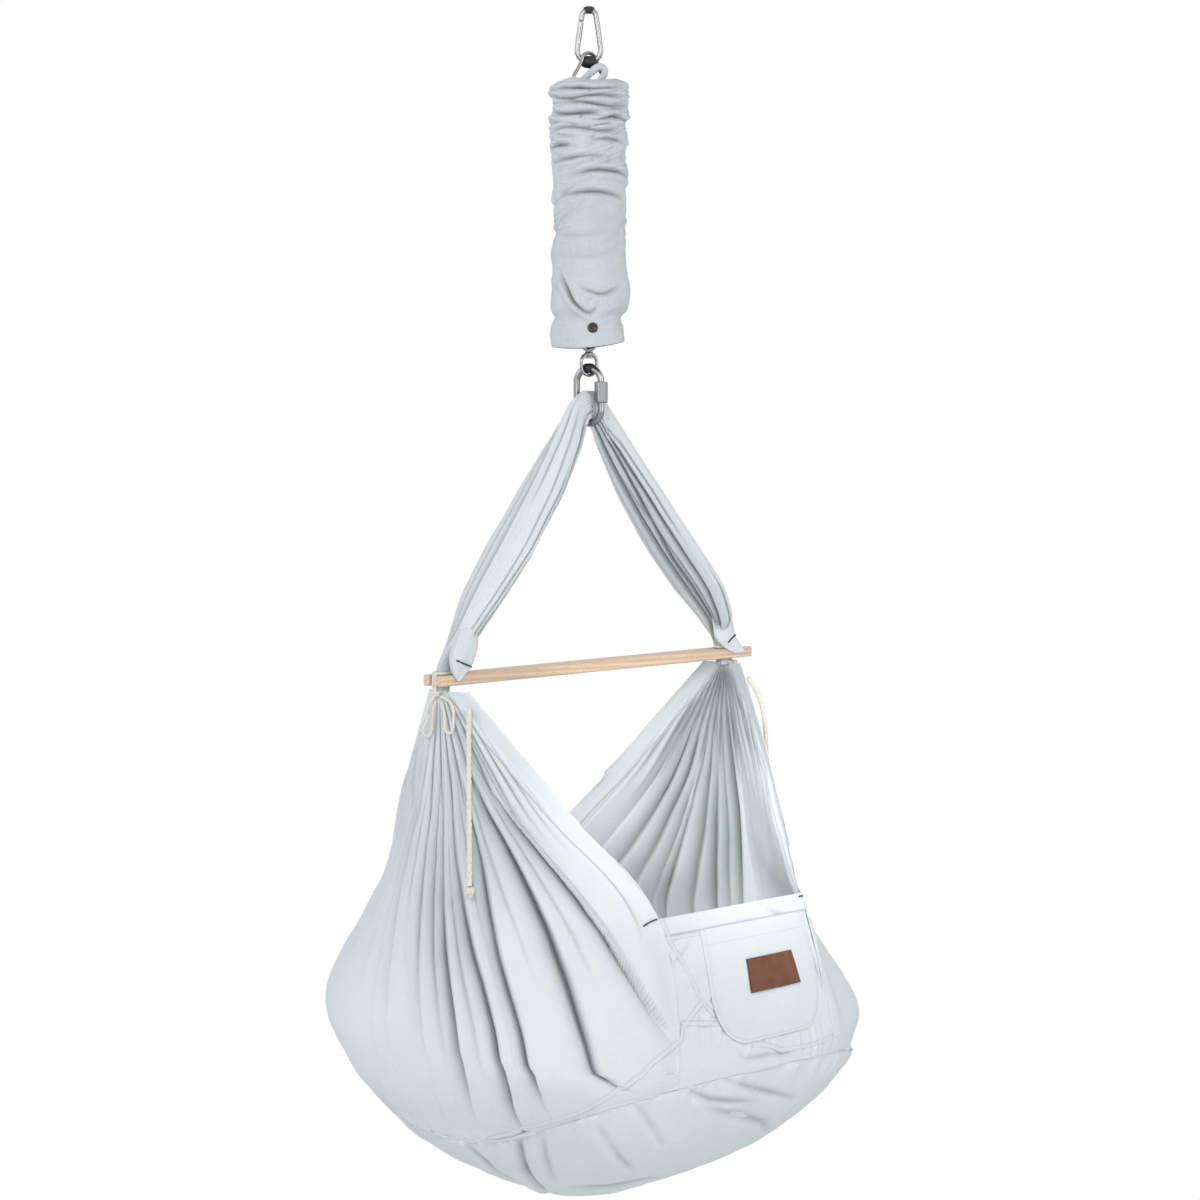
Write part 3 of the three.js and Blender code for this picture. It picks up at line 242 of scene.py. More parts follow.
# %% Tubes
def frames_along(path):
    # Unturned side directions along a path, carried from point to point
    tangent = np.gradient(path, axis=0)
    tangent /= np.linalg.norm(tangent, axis=1, keepdims=True)
    up = np.array([0.31, 0.17, 0.93])
    side = np.cross(tangent[0], up)
    sides = []
    for t in tangent:
        side = side - t * np.dot(side, t)
        side = side / np.linalg.norm(side)
        sides.append(side)
    sides = np.array(sides)
    return tangent, sides, np.cross(tangent, sides)


def tube(name, path, radius, sides=16, closed=False, swell=None):
    # A round bar along a path; swell multiplies the radius by path share and turn
    path = np.asarray(path, dtype=float)
    if closed:
        tangent = np.roll(path, -1, axis=0) - np.roll(path, 1, axis=0)
        tangent /= np.linalg.norm(tangent, axis=1, keepdims=True)
        normal = np.cross(path[1] - path[0], path[len(path) // 3] - path[0])
        normal /= np.linalg.norm(normal)
        one = np.cross(tangent, normal)
        two = np.broadcast_to(normal, one.shape)
    else:
        tangent, one, two = frames_along(path)
    turn = np.arange(sides) * TAU / sides
    share = np.linspace(0, 1, len(path))
    size = np.full((len(path), sides), radius)
    if swell is not None:
        size = radius * swell(share[:, None], turn[None, :])
    rings = (path[:, None] + size[..., None] * (np.cos(turn)[None, :, None] * one[:, None]
             + np.sin(turn)[None, :, None] * two[:, None]))
    count = len(path)
    if closed:
        faces = grid_faces(count, sides, True)
        last = (count - 1) * sides
        faces += [[last + j, last + (j + 1) % sides, (j + 1) % sides, j] for j in range(sides)]
        return mesh_object(name, rings.reshape(-1, 3), faces)
    return mesh_object(name, *capped(rings, path[0], path[-1]))


# %% Dressing a piece
def dress(thing, body, slot, material, *nodes):
    if body:
        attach(thing, body)
    if nodes:
        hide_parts(*nodes)
    thing.data.materials.clear()
    thing.data.materials.append(material)
    print(thing.name, ":", len(thing.data.vertices), "points of", material.name)
    return thing


def resample(points, count):
    path = catmull(points, np.linspace(0, 1, count * 4))
    reach = walked(path)
    return placed(path, reach, np.linspace(0, reach[-1], count)), reach[-1]


# %% [markdown]
# The cords of a cradle are soft cotton braids. A cord could be left to a simulation, but then
# its bow would come out differently each time. Here each follows the few points of its CAD
# route, which were read in the photograph, and the strands of the braid are a swelling that
# two crossing spirals make on the tube.

# %% Cord routes
NEAR_KNOT = (-0.295, -0.006, -0.876)
FAR_KNOT = (0.298, -0.006, -0.874)
TIE_RADIUS = 1.9 * MM
DRAW_RADIUS = 3.4 * MM
LOOP_RIGHT = np.array([0.669, -0.743])
NEAR_LEFT_LOOP = [(-3.2, 2.2, -3.8), (-9, 4, -11), (-12, 5, -19), (-12, 5, -32), (-16, 6, -42),
                  (-17, 6, -49), (-11, 6, -53), (-6, 6, -47), (-5, 5, -34), (-4, 4, -20),
                  (-1, 3, -9)]
NEAR_RIGHT_LOOP = [(4.8, 3.4, -2.8), (12, 6, -6), (18, 9, -10), (22, 13, -19), (22, 16, -31),
                   (21, 19, -43), (16, 20, -48), (11, 19, -42), (11, 16, -30), (9, 11, -19),
                   (5, 7, -10)]
FAR_LOOP = [(3.2, 2.2, -3.9), (8, 3, -13), (13, 4, -26), (18, 4, -36), (18, 4, -45),
            (12, 4, -50), (7, 4, -44), (8, 4, -34), (5, 4, -24), (0, 3, -12)]
NEAR_DRAWSTRING = [(-279.4, -48.2, -893), (-282, -51, -903), (-284, -52, -922),
                   (-287, -55, -950), (-290, -58, -985), (-294, -62, -1020),
                   (-301, -69, -1055), (-306, -74, -1085), (-311, -79, -1112)]
FAR_DRAWSTRING = [(274.6, -48.2, -891), (277, -56, -902), (279, -67, -922), (280, -74, -950),
                  (281, -76, -985), (282, -76, -1020), (286, -77, -1055), (290, -78, -1085),
                  (295, -81, -1112)]


def loop_route(knot, route):
    return [(knot[0] + (r * LOOP_RIGHT[0] + f * LOOP_RIGHT[1]) * MM,
             knot[1] + (r * LOOP_RIGHT[1] - f * LOOP_RIGHT[0]) * MM,
             knot[2] + up * MM) for r, f, up in route]


def metres(route):
    return [tuple(v * MM for v in point) for point in route]


# %% Braided cords
def braid(share, turn, plaits, length_in_radii):
    # Two families of strands cross at a slant and swell the cord where they lie on top
    climb = share * length_in_radii / 2.6
    one = np.cos(plaits * turn / 2 + TAU * climb)
    two = np.cos(plaits * turn / 2 - TAU * climb)
    return 0.93 + 0.1 * np.maximum(one, two) - 0.05 * np.abs(one * two)


def braided_cord(name, route, radius):
    steps = 18 if radius > 3 * MM else 20
    path, length = resample(route, steps * 22)
    thing = tube(name, path, radius, 18, swell=lambda s, t: braid(s, t, 4, length / radius))
    dress(thing, "cradle", "cord", cord_white, name.replace("_braided", ""))
    centre, _ = resample(route, 40)


# %% [markdown]
# A material in Blender is a graph of nodes, and a graph that is built link by link is hard to
# read. The small class here wraps a socket, so that sockets can be added, subtracted and
# multiplied like numbers, with a plain number on either side. Any other node comes from one
# function, which sets the node's settings first and then its sockets.

# %% Shader wrapper
def add_node(tree, kind, settings, sockets):
    # One node: its settings are set first, and then each socket gets its value or its link
    node = tree.nodes.new(kind)
    for name, value in settings.items():
        setattr(node, name, value)
    for key, value in sockets.items():
        if isinstance(value, Socket):
            tree.links.new(value.output, node.inputs[key])
        else:
            node.inputs[key].default_value = value
    return node


class Socket:
    def __init__(self, tree, output):
        self.tree = tree
        self.output = output

    def math(self, operation, *values):
        node = add_node(self.tree, "ShaderNodeMath", {"operation": operation},
                        dict(enumerate(values)))
        return Socket(self.tree, node.outputs[0])

    def __add__(self, other):
        return self.math("ADD", self, other)

    def __radd__(self, other):
        return self.math("ADD", other, self)

    def __sub__(self, other):
        return self.math("SUBTRACT", self, other)

    def __rsub__(self, other):
        return self.math("SUBTRACT", other, self)

    def __mul__(self, other):
        return self.math("MULTIPLY", self, other)

    def __rmul__(self, other):
        return self.math("MULTIPLY", other, self)

    def largest(self, other):
        return self.math("MAXIMUM", self, other)

    def ramp(self, low, high, start=0.0, end=1.0):
        node = add_node(self.tree, "ShaderNodeMapRange", {},
                        {"Value": self, "From Min": low, "From Max": high, "To Min": start,
                         "To Max": end})
        return Socket(self.tree, node.outputs["Result"])


# %% Material wrapper
# A Mix node has sockets of every kind of value; these are the ones that mix colours
MIX_FACTOR = 0
MIX_FIRST = 6
MIX_SECOND = 7
MIX_RESULT = 2


class Material:
    def __init__(self, name, color, roughness, metallic=0.0):
        self.data = bpy.data.materials.new(name)
        self.data.use_nodes = True
        self.tree = self.data.node_tree
        self.shader = self.tree.nodes["Principled BSDF"]
        self.set("Base Color", (*color, 1))
        self.set("Roughness", roughness)
        self.set("Metallic", metallic)
        print("material", name)

    def set(self, name, value):
        if isinstance(value, Socket):
            self.tree.links.new(value.output, self.shader.inputs[name])
        else:
            self.shader.inputs[name].default_value = value

    def node(self, kind, output, settings, sockets):
        made = add_node(self.tree, kind, settings, sockets)
        return Socket(self.tree, made.outputs[output])

    def place(self, scale=(1, 1, 1)):
        here = self.node("ShaderNodeTexCoord", "Object", {}, {})
        return self.node("ShaderNodeMapping", 0, {}, {"Vector": here, "Scale": scale})

    def uv(self, scale=(1, 1, 1)):
        here = self.node("ShaderNodeUVMap", 0, {}, {})
        return self.node("ShaderNodeMapping", 0, {}, {"Vector": here, "Scale": scale})

    def noise(self, vector, scale, detail=3.0, rough=0.5):
        return self.node("ShaderNodeTexNoise", 0, {}, {
            "Vector": vector, "Scale": scale, "Detail": detail, "Roughness": rough})

    def wave(self, vector, scale, axis="X", distortion=0.0):
        return self.node("ShaderNodeTexWave", 1, {"bands_direction": axis}, {
            "Vector": vector, "Scale": scale, "Distortion": distortion})

    def mask(self, name):
        return self.node("ShaderNodeAttribute", "Fac", {"attribute_name": name}, {})

    def mix(self, share, one, two):
        one, two = [value if isinstance(value, Socket) else (*value, 1) for value in (one, two)]
        return self.node("ShaderNodeMix", MIX_RESULT, {"data_type": "RGBA"}, {
            MIX_FACTOR: share, MIX_FIRST: one, MIX_SECOND: two})

    def bump(self, height, strength, distance=MM, under=None):
        sockets = {"Height": height, "Strength": strength, "Distance": distance}
        if under is not None:
            sockets["Normal"] = under
        return self.node("ShaderNodeBump", 0, {}, sockets)


# %% [markdown]
# The body is washed cotton in plain weave, the hardware is steel, the bar is oiled beech and
# the label is leather. Photographs of such stuffs could be wrapped round the pieces, but maps
# of noise and waves have no edge and no end, and they can be made finer at will. Each
# function below makes one stuff, from its broad tone down to its smallest bumps.

# %% Materials
# Painted shade in creases: how far the crease mask darkens the cloth, and the colour of that shade
CREASE_SHADE = 0.92
CREASE_SHADE_COLOR = (0.17, 0.205, 0.21)


def cotton_material(name, color, shade, by_uv=True):
    # Plain weave: two thread families, slubs along both, and a soft irregular bloom
    cloth = Material(name, color, 0.92)
    here = cloth.uv() if by_uv else cloth.place()
    warp = cloth.wave(here, 330, "X", 0.6)
    weft = cloth.wave(here, 330, "Y", 0.6)
    across = cloth.uv((30, 900, 30)) if by_uv else cloth.place((30, 30, 900))
    along = cloth.uv((900, 30, 30)) if by_uv else cloth.place((900, 900, 30))
    slubs = cloth.noise(across, 1.0, 2.0) + cloth.noise(along, 1.0, 2.0)
    bloom = cloth.noise(cloth.place(), 9.0, 3.0)
    tone = slubs.ramp(0.75, 1.3) * 0.6 + bloom.ramp(0.3, 0.7) * 0.4
    # Painted shade: the crease mask darkens the colour a little in deep creases, seams and hem
    # lines
    crease = cloth.mask("crease").ramp(0, 1, 0, CREASE_SHADE)
    cloth.set("Base Color", cloth.mix(crease, cloth.mix(tone, shade, color), CREASE_SHADE_COLOR))
    wrinkle = cloth.noise(cloth.place(), 42.0, 4.0, 0.55)
    soft = cloth.bump(wrinkle, 0.35, 2.5 * MM)
    weave = cloth.bump(warp * weft + slubs * 0.5, 0.28, 0.35 * MM, under=soft)
    cloth.set("Normal", weave)
    cloth.set("Sheen Weight", 0.12)
    cloth.set("Sheen Roughness", 0.6)
    cloth.set("Specular IOR Level", 0.2)
    return cloth.data


def thread_material(name, color):
    thread = Material(name, color, 0.85)
    thread.set("Normal", thread.bump(thread.noise(thread.place(), 2500, 2.0), 0.5, 0.3 * MM))
    return thread.data


# %% Metal, rubber and plastic
def metal_material(name, color, roughness, scratch=0.12):
    metal = Material(name, color, roughness, 1.0)
    streaks = metal.noise(metal.place((60, 60, 900)), 1.0, 3.0)
    cloud = metal.noise(metal.place(), 90.0, 3.0)
    metal.set("Roughness", (streaks * scratch + cloud * scratch) + (roughness - scratch * 0.5))
    metal.set("Normal", metal.bump(cloud, 0.02, 0.3 * MM))
    return metal.data


def rubber_material(name, color, roughness):
    rubber = Material(name, color, roughness)
    grain = rubber.noise(rubber.place(), 1400.0, 3.0)
    rubber.set("Normal", rubber.bump(grain, 0.35, 0.3 * MM))
    rubber.set("Roughness", rubber.noise(rubber.place(), 160.0, 2.0) * 0.2 + (roughness - 0.1))
    return rubber.data


# %% Wood, leather and cord
def beech_material(name):
    # Long pale grain along X with the short dark flecks that mark beech
    wood = Material(name, (0.7, 0.52, 0.37), 0.5)
    rings = wood.wave(wood.place((2.2, 60, 90)), 1.0, "DIAGONAL", 6.0)
    grain = wood.noise(wood.place((9, 300, 300)), 1.0, 5.0, 0.6)
    flecks = wood.noise(wood.place((120, 900, 900)), 1.0, 2.0).ramp(0.6, 0.72)
    base = wood.mix(rings * 0.5 + grain * 0.5, (0.57, 0.39, 0.26), (0.8, 0.61, 0.44))
    wood.set("Base Color", wood.mix(flecks * 0.55, base, (0.42, 0.25, 0.16)))
    wood.set("Roughness", grain.ramp(0.3, 0.7, 0.42, 0.6))
    wood.set("Normal", wood.bump(grain, 0.15, 0.3 * MM))
    return wood.data


def leather_material(name):
    hide = Material(name, (0.14, 0.047, 0.023), 0.55)
    pores = hide.noise(hide.place(), 900.0, 4.0, 0.6)
    cloud = hide.noise(hide.place(), 60.0, 4.0, 0.6)
    edge = hide.mask("edge")
    tone = hide.mix(cloud.ramp(0.3, 0.7), (0.115, 0.035, 0.013), (0.175, 0.058, 0.022))
    hide.set("Base Color", hide.mix(edge, tone, (0.055, 0.02, 0.012)))
    hide.set("Roughness", pores.ramp(0.3, 0.7, 0.4, 0.62))
    hide.set("Normal", hide.bump(pores, 0.5, 0.4 * MM))
    return hide.data


def cord_material(name):
    cord = Material(name, (0.76, 0.71, 0.62), 0.9)
    hair = cord.noise(cord.place((600, 600, 1500)), 1.0, 3.0)
    cord.set("Base Color", cord.mix(hair.ramp(0.3, 0.7), (0.62, 0.56, 0.47), (0.82, 0.78, 0.7)))
    cord.set("Normal", cord.bump(hair, 0.6, 0.4 * MM))
    cord.set("Sheen Weight", 0.2)
    return cord.data


# %% The cradle's materials
COTTON = (0.72, 0.765, 0.785)
COTTON_SHADE = (0.66, 0.71, 0.73)
cotton = cotton_material("cotton_cloth", COTTON, COTTON_SHADE)
cotton_plain = cotton_material("cotton_cloth_solid", COTTON, COTTON_SHADE, by_uv=False)
cotton_worn = cotton_material("cotton_cover_cloth", (0.62, 0.665, 0.68), (0.47, 0.52, 0.54))
thread_pale = thread_material("stitch_thread", (0.6, 0.65, 0.67))
thread_dark = thread_material("dark_tack_thread", (0.035, 0.035, 0.04))
steel = metal_material("polished_steel", (0.30, 0.305, 0.31), 0.3, 0.04)
spring_steel = metal_material("coated_spring_wire", (0.06, 0.06, 0.065), 0.42)
rubber = rubber_material("black_rubber", (0.012, 0.012, 0.014), 0.55)
plastic = rubber_material("black_plastic", (0.014, 0.014, 0.016), 0.42)
beech = beech_material("oiled_beech")
leather = leather_material("brown_leather")
cord_white = cord_material("braided_cotton_cord")


# %% [markdown]
# Two drawstrings and the loops of two bows hang free from the gathers. A drawstring ends in a
# stopper knot with a cut tuft under it. The knot could be tied point by point, but at its
# size two turns of cord around each other already read as one.

# %% Free cords
def knot_lump(name, end, node):
    # A stopper knot with the cut tuft of the cord under it
    centre = np.array(end) * MM + np.array([0, 0, -0.0059])
    turn = np.linspace(0, TAU * 2, 60)
    winding = np.stack([0.0032 * np.cos(turn), 0.0032 * np.sin(turn),
                        0.0022 * np.sin(turn * 1.5)], axis=1)
    lump = tube(name, centre + winding, 0.0030, 14, swell=lambda s, t: braid(s, t, 4, 14))
    tuft = tube(name + "_tuft", centre + np.array([[0, 0, -0.001], [0.0003, 0, -0.005],
                                                   [0, 0.0003, -0.0085]]), 0.0036, 14,
                swell=lambda s, t: 0.85 + 0.3 * s + 0.12 * np.cos(7 * t))
    return dress(join([lump, tuft]), "cradle", "cord", cord_white, node)


near_stop = knot_lump("near_drawstring_knot_tied", NEAR_DRAWSTRING[-1], "near_drawstring_knot")
far_stop = knot_lump("far_drawstring_knot_tied", FAR_DRAWSTRING[-1], "far_drawstring_knot")
braided_cord("near_drawstring_braided", metres(NEAR_DRAWSTRING), DRAW_RADIUS)
braided_cord("far_drawstring_braided", metres(FAR_DRAWSTRING), DRAW_RADIUS)
for name, knot, route in (("near_tie_loop_left", NEAR_KNOT, NEAR_LEFT_LOOP),
                          ("near_tie_loop_right", NEAR_KNOT, NEAR_RIGHT_LOOP),
                          ("far_tie_loop", FAR_KNOT, FAR_LOOP)):
    braided_cord(name + "_braided", loop_route(knot, route), TIE_RADIUS)


# %% [markdown]
# The cradle's cloth body hangs from two gathers at the bar's ends. It could be carved out of
# one closed form, but then the seams would be mere paint. So it is built as it is sewn, from
# panels. Each follows down-lines that pass the gather, the shoulder, the belly and the seam,
# and neighbours share the line on which they are sewn together.

# %% Body surface
GATHER_REACH = 0.278
FAN_TOP = -0.8729
NECK_DEPTH = 0.012
RIM_DROP = 1.1555
RIM_HALF = 0.1435
RIM_FRONT = 0.247
RIM_BACK = 0.236
RIM_END_REACH = 0.348
BELLY_DROP = 1.3
BELLY_TILT = 0.042
BOTTOM_DROP = 1.56
BELLY_LENGTH = 0.366
BELLY_FRONT = 0.3
BELLY_BACK = 0.291
BELLY_FRONT_POWER = 3.0
BELLY_BACK_POWER = 2.15
BOWL_POWER = 1.12
SIDE_SEAM_ANGLE = math.radians(16)
END_SEAM_SHARE = 0.6
SIDE_SEAM_RISE_SHARE = 0.33
HEM_BOW = 0.004
HEM_SPREADS = {(-1, "front"): 0.044, (-1, "back"): 0.02, (1, "front"): 0.03, (1, "back"): 0.032}


def signed_power(value, power):
    return np.sign(value) * np.abs(value) ** power


def belly_plan(angle):
    c, s = np.cos(angle), np.sin(angle)
    power = np.where(s < 0, 2 / BELLY_FRONT_POWER, 2 / BELLY_BACK_POWER)
    width = np.where(s < 0, BELLY_FRONT, BELLY_BACK)
    return np.stack([BELLY_LENGTH * signed_power(c, power), width * signed_power(s, power),
                     -BELLY_DROP + BELLY_TILT * s], axis=-1)


def bowl(angle, share):
    plan = belly_plan(angle)
    out = np.sin(share * math.pi / 2) ** BOWL_POWER
    down = np.cos(share * math.pi / 2) ** BOWL_POWER
    return np.stack([plan[..., 0] * out, plan[..., 1] * out,
                     plan[..., 2] - (BOTTOM_DROP + plan[..., 2]) * down], axis=-1)


def seam_share(angle):
    return END_SEAM_SHARE + SIDE_SEAM_RISE_SHARE * np.abs(np.sin(angle)) ** 1.5


# %% Down-lines of the end panels
def end_lines(side, s):
    # Control points of the down-lines at shares s, front hem first
    half = math.pi / 2 - SIDE_SEAM_ANGLE
    turn = -half + 2 * half * s
    angle = turn if side > 0 else math.pi - turn
    c, round_share = np.cos(math.pi * s), np.sin(math.pi * s)
    spread = np.where(c > 0, HEM_SPREADS[side, "front"], HEM_SPREADS[side, "back"])
    spread = spread * (0.7 * c ** 3 + 0.3 * c)
    top = np.stack([side * (GATHER_REACH + NECK_DEPTH * 0.6 * round_share), -spread,
                    np.full_like(s, FAN_TOP)], axis=-1)
    reach = RIM_HALF + (RIM_END_REACH - RIM_HALF) * (1 - np.abs(c) ** 1.25)
    rim = np.where(c > 0, RIM_FRONT, RIM_BACK)
    shoulder = np.stack([side * reach, -rim * c, np.full_like(s, -RIM_DROP)], axis=-1)
    upper = (top + shoulder) / 2
    upper[..., 0] += side * HEM_BOW * c ** 2
    upper[..., 1] -= HEM_BOW * c
    seam = seam_share(angle)
    return np.stack([top, upper, shoulder, belly_plan(angle), bowl(angle, (1 + seam) / 2),
                     bowl(angle, seam)])


def end_surface(side, columns, rows, power=1.0):
    s = np.linspace(0, 1, columns)
    r = np.linspace(0, 1, rows) ** power
    return catmull(end_lines(side, s), r), s, r


# %% Front and back surfaces
CORNER_SHARE = 2 / 5


def side_points(front, u, v):
    # Rows of v by columns of u; u may be a row for each v
    middle = -math.pi / 2 if front else math.pi / 2
    hand = 1 if front else -1

    def curve(share, along):
        share = np.atleast_1d(share)
        angle = middle + hand * SIDE_SEAM_ANGLE * (2 * share - 1)
        y = -RIM_FRONT if front else RIM_BACK
        top = np.stack([RIM_HALF * (2 * share - 1), np.full_like(share, y),
                        np.full_like(share, -RIM_DROP)], axis=-1)
        seam = seam_share(angle)
        lines = np.stack([top, belly_plan(angle), bowl(angle, (1 + seam) / 2),
                          bowl(angle, seam)])
        return catmull(lines, along)
    result = []
    edge_at = 0.0 if front else 1.0
    for row, along in enumerate(v):
        shares = u[row] if u.ndim == 2 else u
        place = curve(shares, along)[0]
        for side, weight, own in ((-1, 1 - shares, 0.0), (1, shares, 1.0)):
            edge = catmull(end_lines(side, np.array([edge_at])),
                           CORNER_SHARE + (1 - CORNER_SHARE) * along)[0, 0]
            place = place + (edge - curve(own, along)[0, 0]) * weight[:, None]
        result.append(place)
    return np.array(result)


# %% [markdown]
# On the real cradle each end panel is one wide piece of cotton, drawn together at a slot of
# the bar, and its folds fan out from there. They could be left to a cloth simulation, but
# then they would fall where the solver likes. Here each fold follows a crease that was read
# in the photograph, as a few points in its pixels. The camera of this script then
# finds the place of the cloth that lies behind each of those points. A crease that the
# photograph doesn't show goes on as listed shares of the panel's width, and so does one
# where the projection went wrong.

# %% From the photograph to the cloth
# The photograph's width and height in its pixels, and how near to a point of the cloth a
# point of a crease has to be to count as lying on it
PHOTO_PIXELS = 1200
NEAR_ENOUGH = 4.0
CREASE_SAMPLES = 60
FOLD_ROWS = [0, 0.05, 0.1, 0.15, 0.2, 0.25, 0.3, 0.35, 0.4, 0.45, 0.5, 0.56, 0.63, 0.72, 0.82, 1]


def photo_pixels(places):
    # Where the camera sees these places, in the pixels of the photograph
    away = places - np.array(camera.location)
    depth = away @ np.array(look)
    scale = camera_data.lens / camera_data.sensor_width
    across = 0.5 - camera_data.shift_x + scale * (away @ np.array(VIEW_SIDE)) / depth
    down = 0.5 - scale * (away @ np.array(VIEW_SIDE.cross(look))) / depth
    return np.stack([across, down], axis=-1) * PHOTO_PIXELS


def panel_finder(side, widest, columns=501, rows=401):
    # A search tree of the panel's places as the photograph shows them, up to a width share
    places, s, r = end_surface(side, columns, rows)
    shown = int(widest * columns)
    pixels = photo_pixels(places)[:, :shown].reshape(-1, 2)
    tree = KDTree(len(pixels))
    for index, (across, down) in enumerate(pixels):
        tree.insert((across, down, 0), index)
    tree.balance()
    return tree, shown, s, r


def crease_course(finder, pixels, by_hand):
    # Width shares of a crease at FOLD_ROWS, in thousandths
    tree, shown, s, r = finder
    found = []
    for across, down in catmull(pixels, np.linspace(0, 1, CREASE_SAMPLES)):
        _, index, away = tree.find((across, down, 0))
        if away < NEAR_ENOUGH:
            found.append((r[index // shown], s[index % shown]))
    rows, shares = np.array(sorted(found)).T
    course = np.interp(FOLD_ROWS, rows, shares)
    # Past its seen part a crease goes on in its last direction, but about half as steeply
    third = max(3, len(rows) // 3)
    above = np.polyfit(rows[:third], shares[:third], 1)[0] * 0.5
    below = np.polyfit(rows[-third:], shares[-third:], 1)[0] * 0.6
    goal = np.array(FOLD_ROWS)
    course = np.where(goal < rows[0], shares[0] + above * (goal - rows[0]), course)
    course = np.where(goal > rows[-1], shares[-1] + below * (goal - rows[-1]), course)
    for row, share in by_hand.items():
        course[FOLD_ROWS.index(row)] = share / 1000
    return course * 1000


def seen_creases(side, widest, creases):
    finder = panel_finder(side, widest)
    result = [(gain, end, crease_course(finder, pixels, by_hand))
              for gain, end, pixels, by_hand in creases]
    print("creases seen on the panel at side", side, ":", len(result))
    return result


# %% Creases of the end panels
# Each seen crease: how deep it is, where it ends, its points in the photograph's pixels from
# the gather down, and width shares in thousandths that take the projection's place at some
# rows. Those began as a projection of the same points and were then changed.
NEAR_SEEN = [
    (0.70, 0.30, [(463, 727), (478, 753), (517, 830), (545, 880)], {}),
    (0.50, 0.40, [(463, 733), (482, 768), (530, 843), (575, 900), (610, 945)],
     {0.56: 140, 0.63: 105, 0.72: 60, 0.82: 10, 1: -80}),
    (1.00, 0.57, [(463, 740), (487, 783), (543, 857), (583, 907), (620, 970), (677, 1040)],
     {0.45: 178, 0.5: 90, 0.56: -10, 0.63: -120, 0.72: -260, 0.82: -400, 1: -600}),
    (0.45, 0.42, [(462, 744), (485, 790), (530, 862), (566, 925), (600, 1000), (640, 1065)],
     {0.56: 100, 0.63: 20, 0.72: -70, 0.82: -170, 1: -350}),
    (1.00, 0.75, [(460, 750), (482, 797), (517, 863), (550, 937), (577, 1010), (610, 1087)],
     {0.56: 175, 0.63: 136, 0.72: 118, 0.82: 90, 1: 26}),
    (0.45, 0.40, [(458, 752), (481, 825), (507, 905), (535, 985), (572, 1092)],
     {0.56: 245, 0.63: 210, 0.72: 195, 0.82: 175, 1: 130}),
    (0.95, 0.80, [(456, 755), (480, 850), (497, 950), (520, 1027), (543, 1100)], {}),
    (0.50, 0.50, [(454, 756), (468, 850), (485, 945), (508, 1030), (530, 1108)], {}),
    (1.00, 1.00, [(451, 757), (453, 817), (460, 883), (473, 950), (497, 1033), (517, 1117)], {}),
    (0.60, 0.60, [(448, 758), (449, 825), (453, 900), (461, 965), (480, 1045), (500, 1125)], {}),
    (0.95, 0.85, [(445, 760), (444, 830), (445, 917), (450, 983), (463, 1050), (480, 1133)],
     {1: 410}),
    (0.70, 0.60, [(442, 760), (437, 850), (434, 930), (438, 1000), (452, 1070), (466, 1135)],
     {1: 450}),
    (0.56, 0.59, [(438, 760), (427, 850), (420, 950), (422, 1017), (434, 1075), (445, 1125)],
     {1: 482}),
    (0.43, 0.47, [(434, 760), (418, 850), (407, 935), (407, 1005), (418, 1070)], {1: 495}),
]
FAR_SEEN = [
    (1.00, 0.60, [(725, 683), (730, 733), (740, 817), (743, 897)], {}),
    (0.80, 0.60, [(721, 683), (724, 760), (729, 830), (730, 900)], {0: 592, 0.05: 582}),
    (1.00, 0.65, [(717, 683), (718, 783), (717, 907)], {0: 628, 0.05: 614}),
    (0.85, 0.60, [(714, 685), (712, 760), (705, 830), (692, 908)], {0: 652, 0.05: 638}),
    (1.00, 0.60, [(712, 683), (706, 750), (697, 783), (683, 837), (663, 912)],
     {0: 676, 0.05: 660}),
    (0.70, 0.55, [(710, 686), (700, 757), (686, 812), (668, 862), (648, 910)],
     {0: 688, 0.05: 678, 1: 840}),
    (0.90, 0.50, [(708, 690), (692, 767), (673, 810), (655, 850), (630, 893)],
     {0: 700, 1: 872}),
    (0.80, 0.50, [(705, 687), (683, 755), (655, 812), (625, 858), (605, 875)],
     {0: 735, 0.45: 748, 0.63: 838, 0.72: 872, 0.82: 905, 1: 950}),
    (0.60, 0.40, [(702, 684), (680, 735), (640, 800), (600, 850)],
     {0.4: 768, 0.45: 790, 0.5: 815, 0.56: 840, 0.63: 865, 0.72: 893, 0.82: 922, 1: 965}),
]


# %% Listed creases
# Creases that are hidden, or hard to tell from their neighbours: how deep each is, where it
# ends, and its shares at FOLD_ROWS. They were set one by one, but the last two of FAR_BEFORE
# began as a projection of their lines and were then changed.
NEAR_BEHIND = [
    (0.56, 0.55, [480, 484, 490, 498, 506, 511, 515, 517, 518, 518, 515, 511, 508, 506, 506, 508]),
    (0.46, 0.51, [495, 500, 508, 520, 533, 542, 548, 551, 552, 551, 547, 541, 536, 533, 531, 528]),
    (0.50, 0.47, [513, 520, 530, 548, 568, 581, 589, 593, 594, 592, 587, 580, 574, 568, 563, 558]),
    (0.50, 0.42, [550, 556, 566, 584, 604, 618, 628, 633, 636, 637, 636, 634, 630, 626, 622, 616]),
    (0.56, 0.53, [585, 592, 604, 624, 646, 660, 670, 676, 680, 682, 683, 683, 682, 680, 678, 675]),
    (0.50, 0.42, [630, 638, 650, 670, 692, 706, 716, 722, 726, 729, 731, 733, 734, 735, 736, 738]),
    (0.56, 0.51, [680, 688, 700, 718, 738, 750, 759, 765, 769, 772, 775, 778, 780, 783, 786, 790]),
    (0.43, 0.38, [735, 742, 752, 768, 784, 794, 801, 806, 810, 813, 816, 819, 823, 827, 832, 840]),
    (0.37, 0.34, [795, 801, 809, 821, 833, 841, 847, 852, 856, 860, 863, 867, 871, 876, 882, 890]),
]
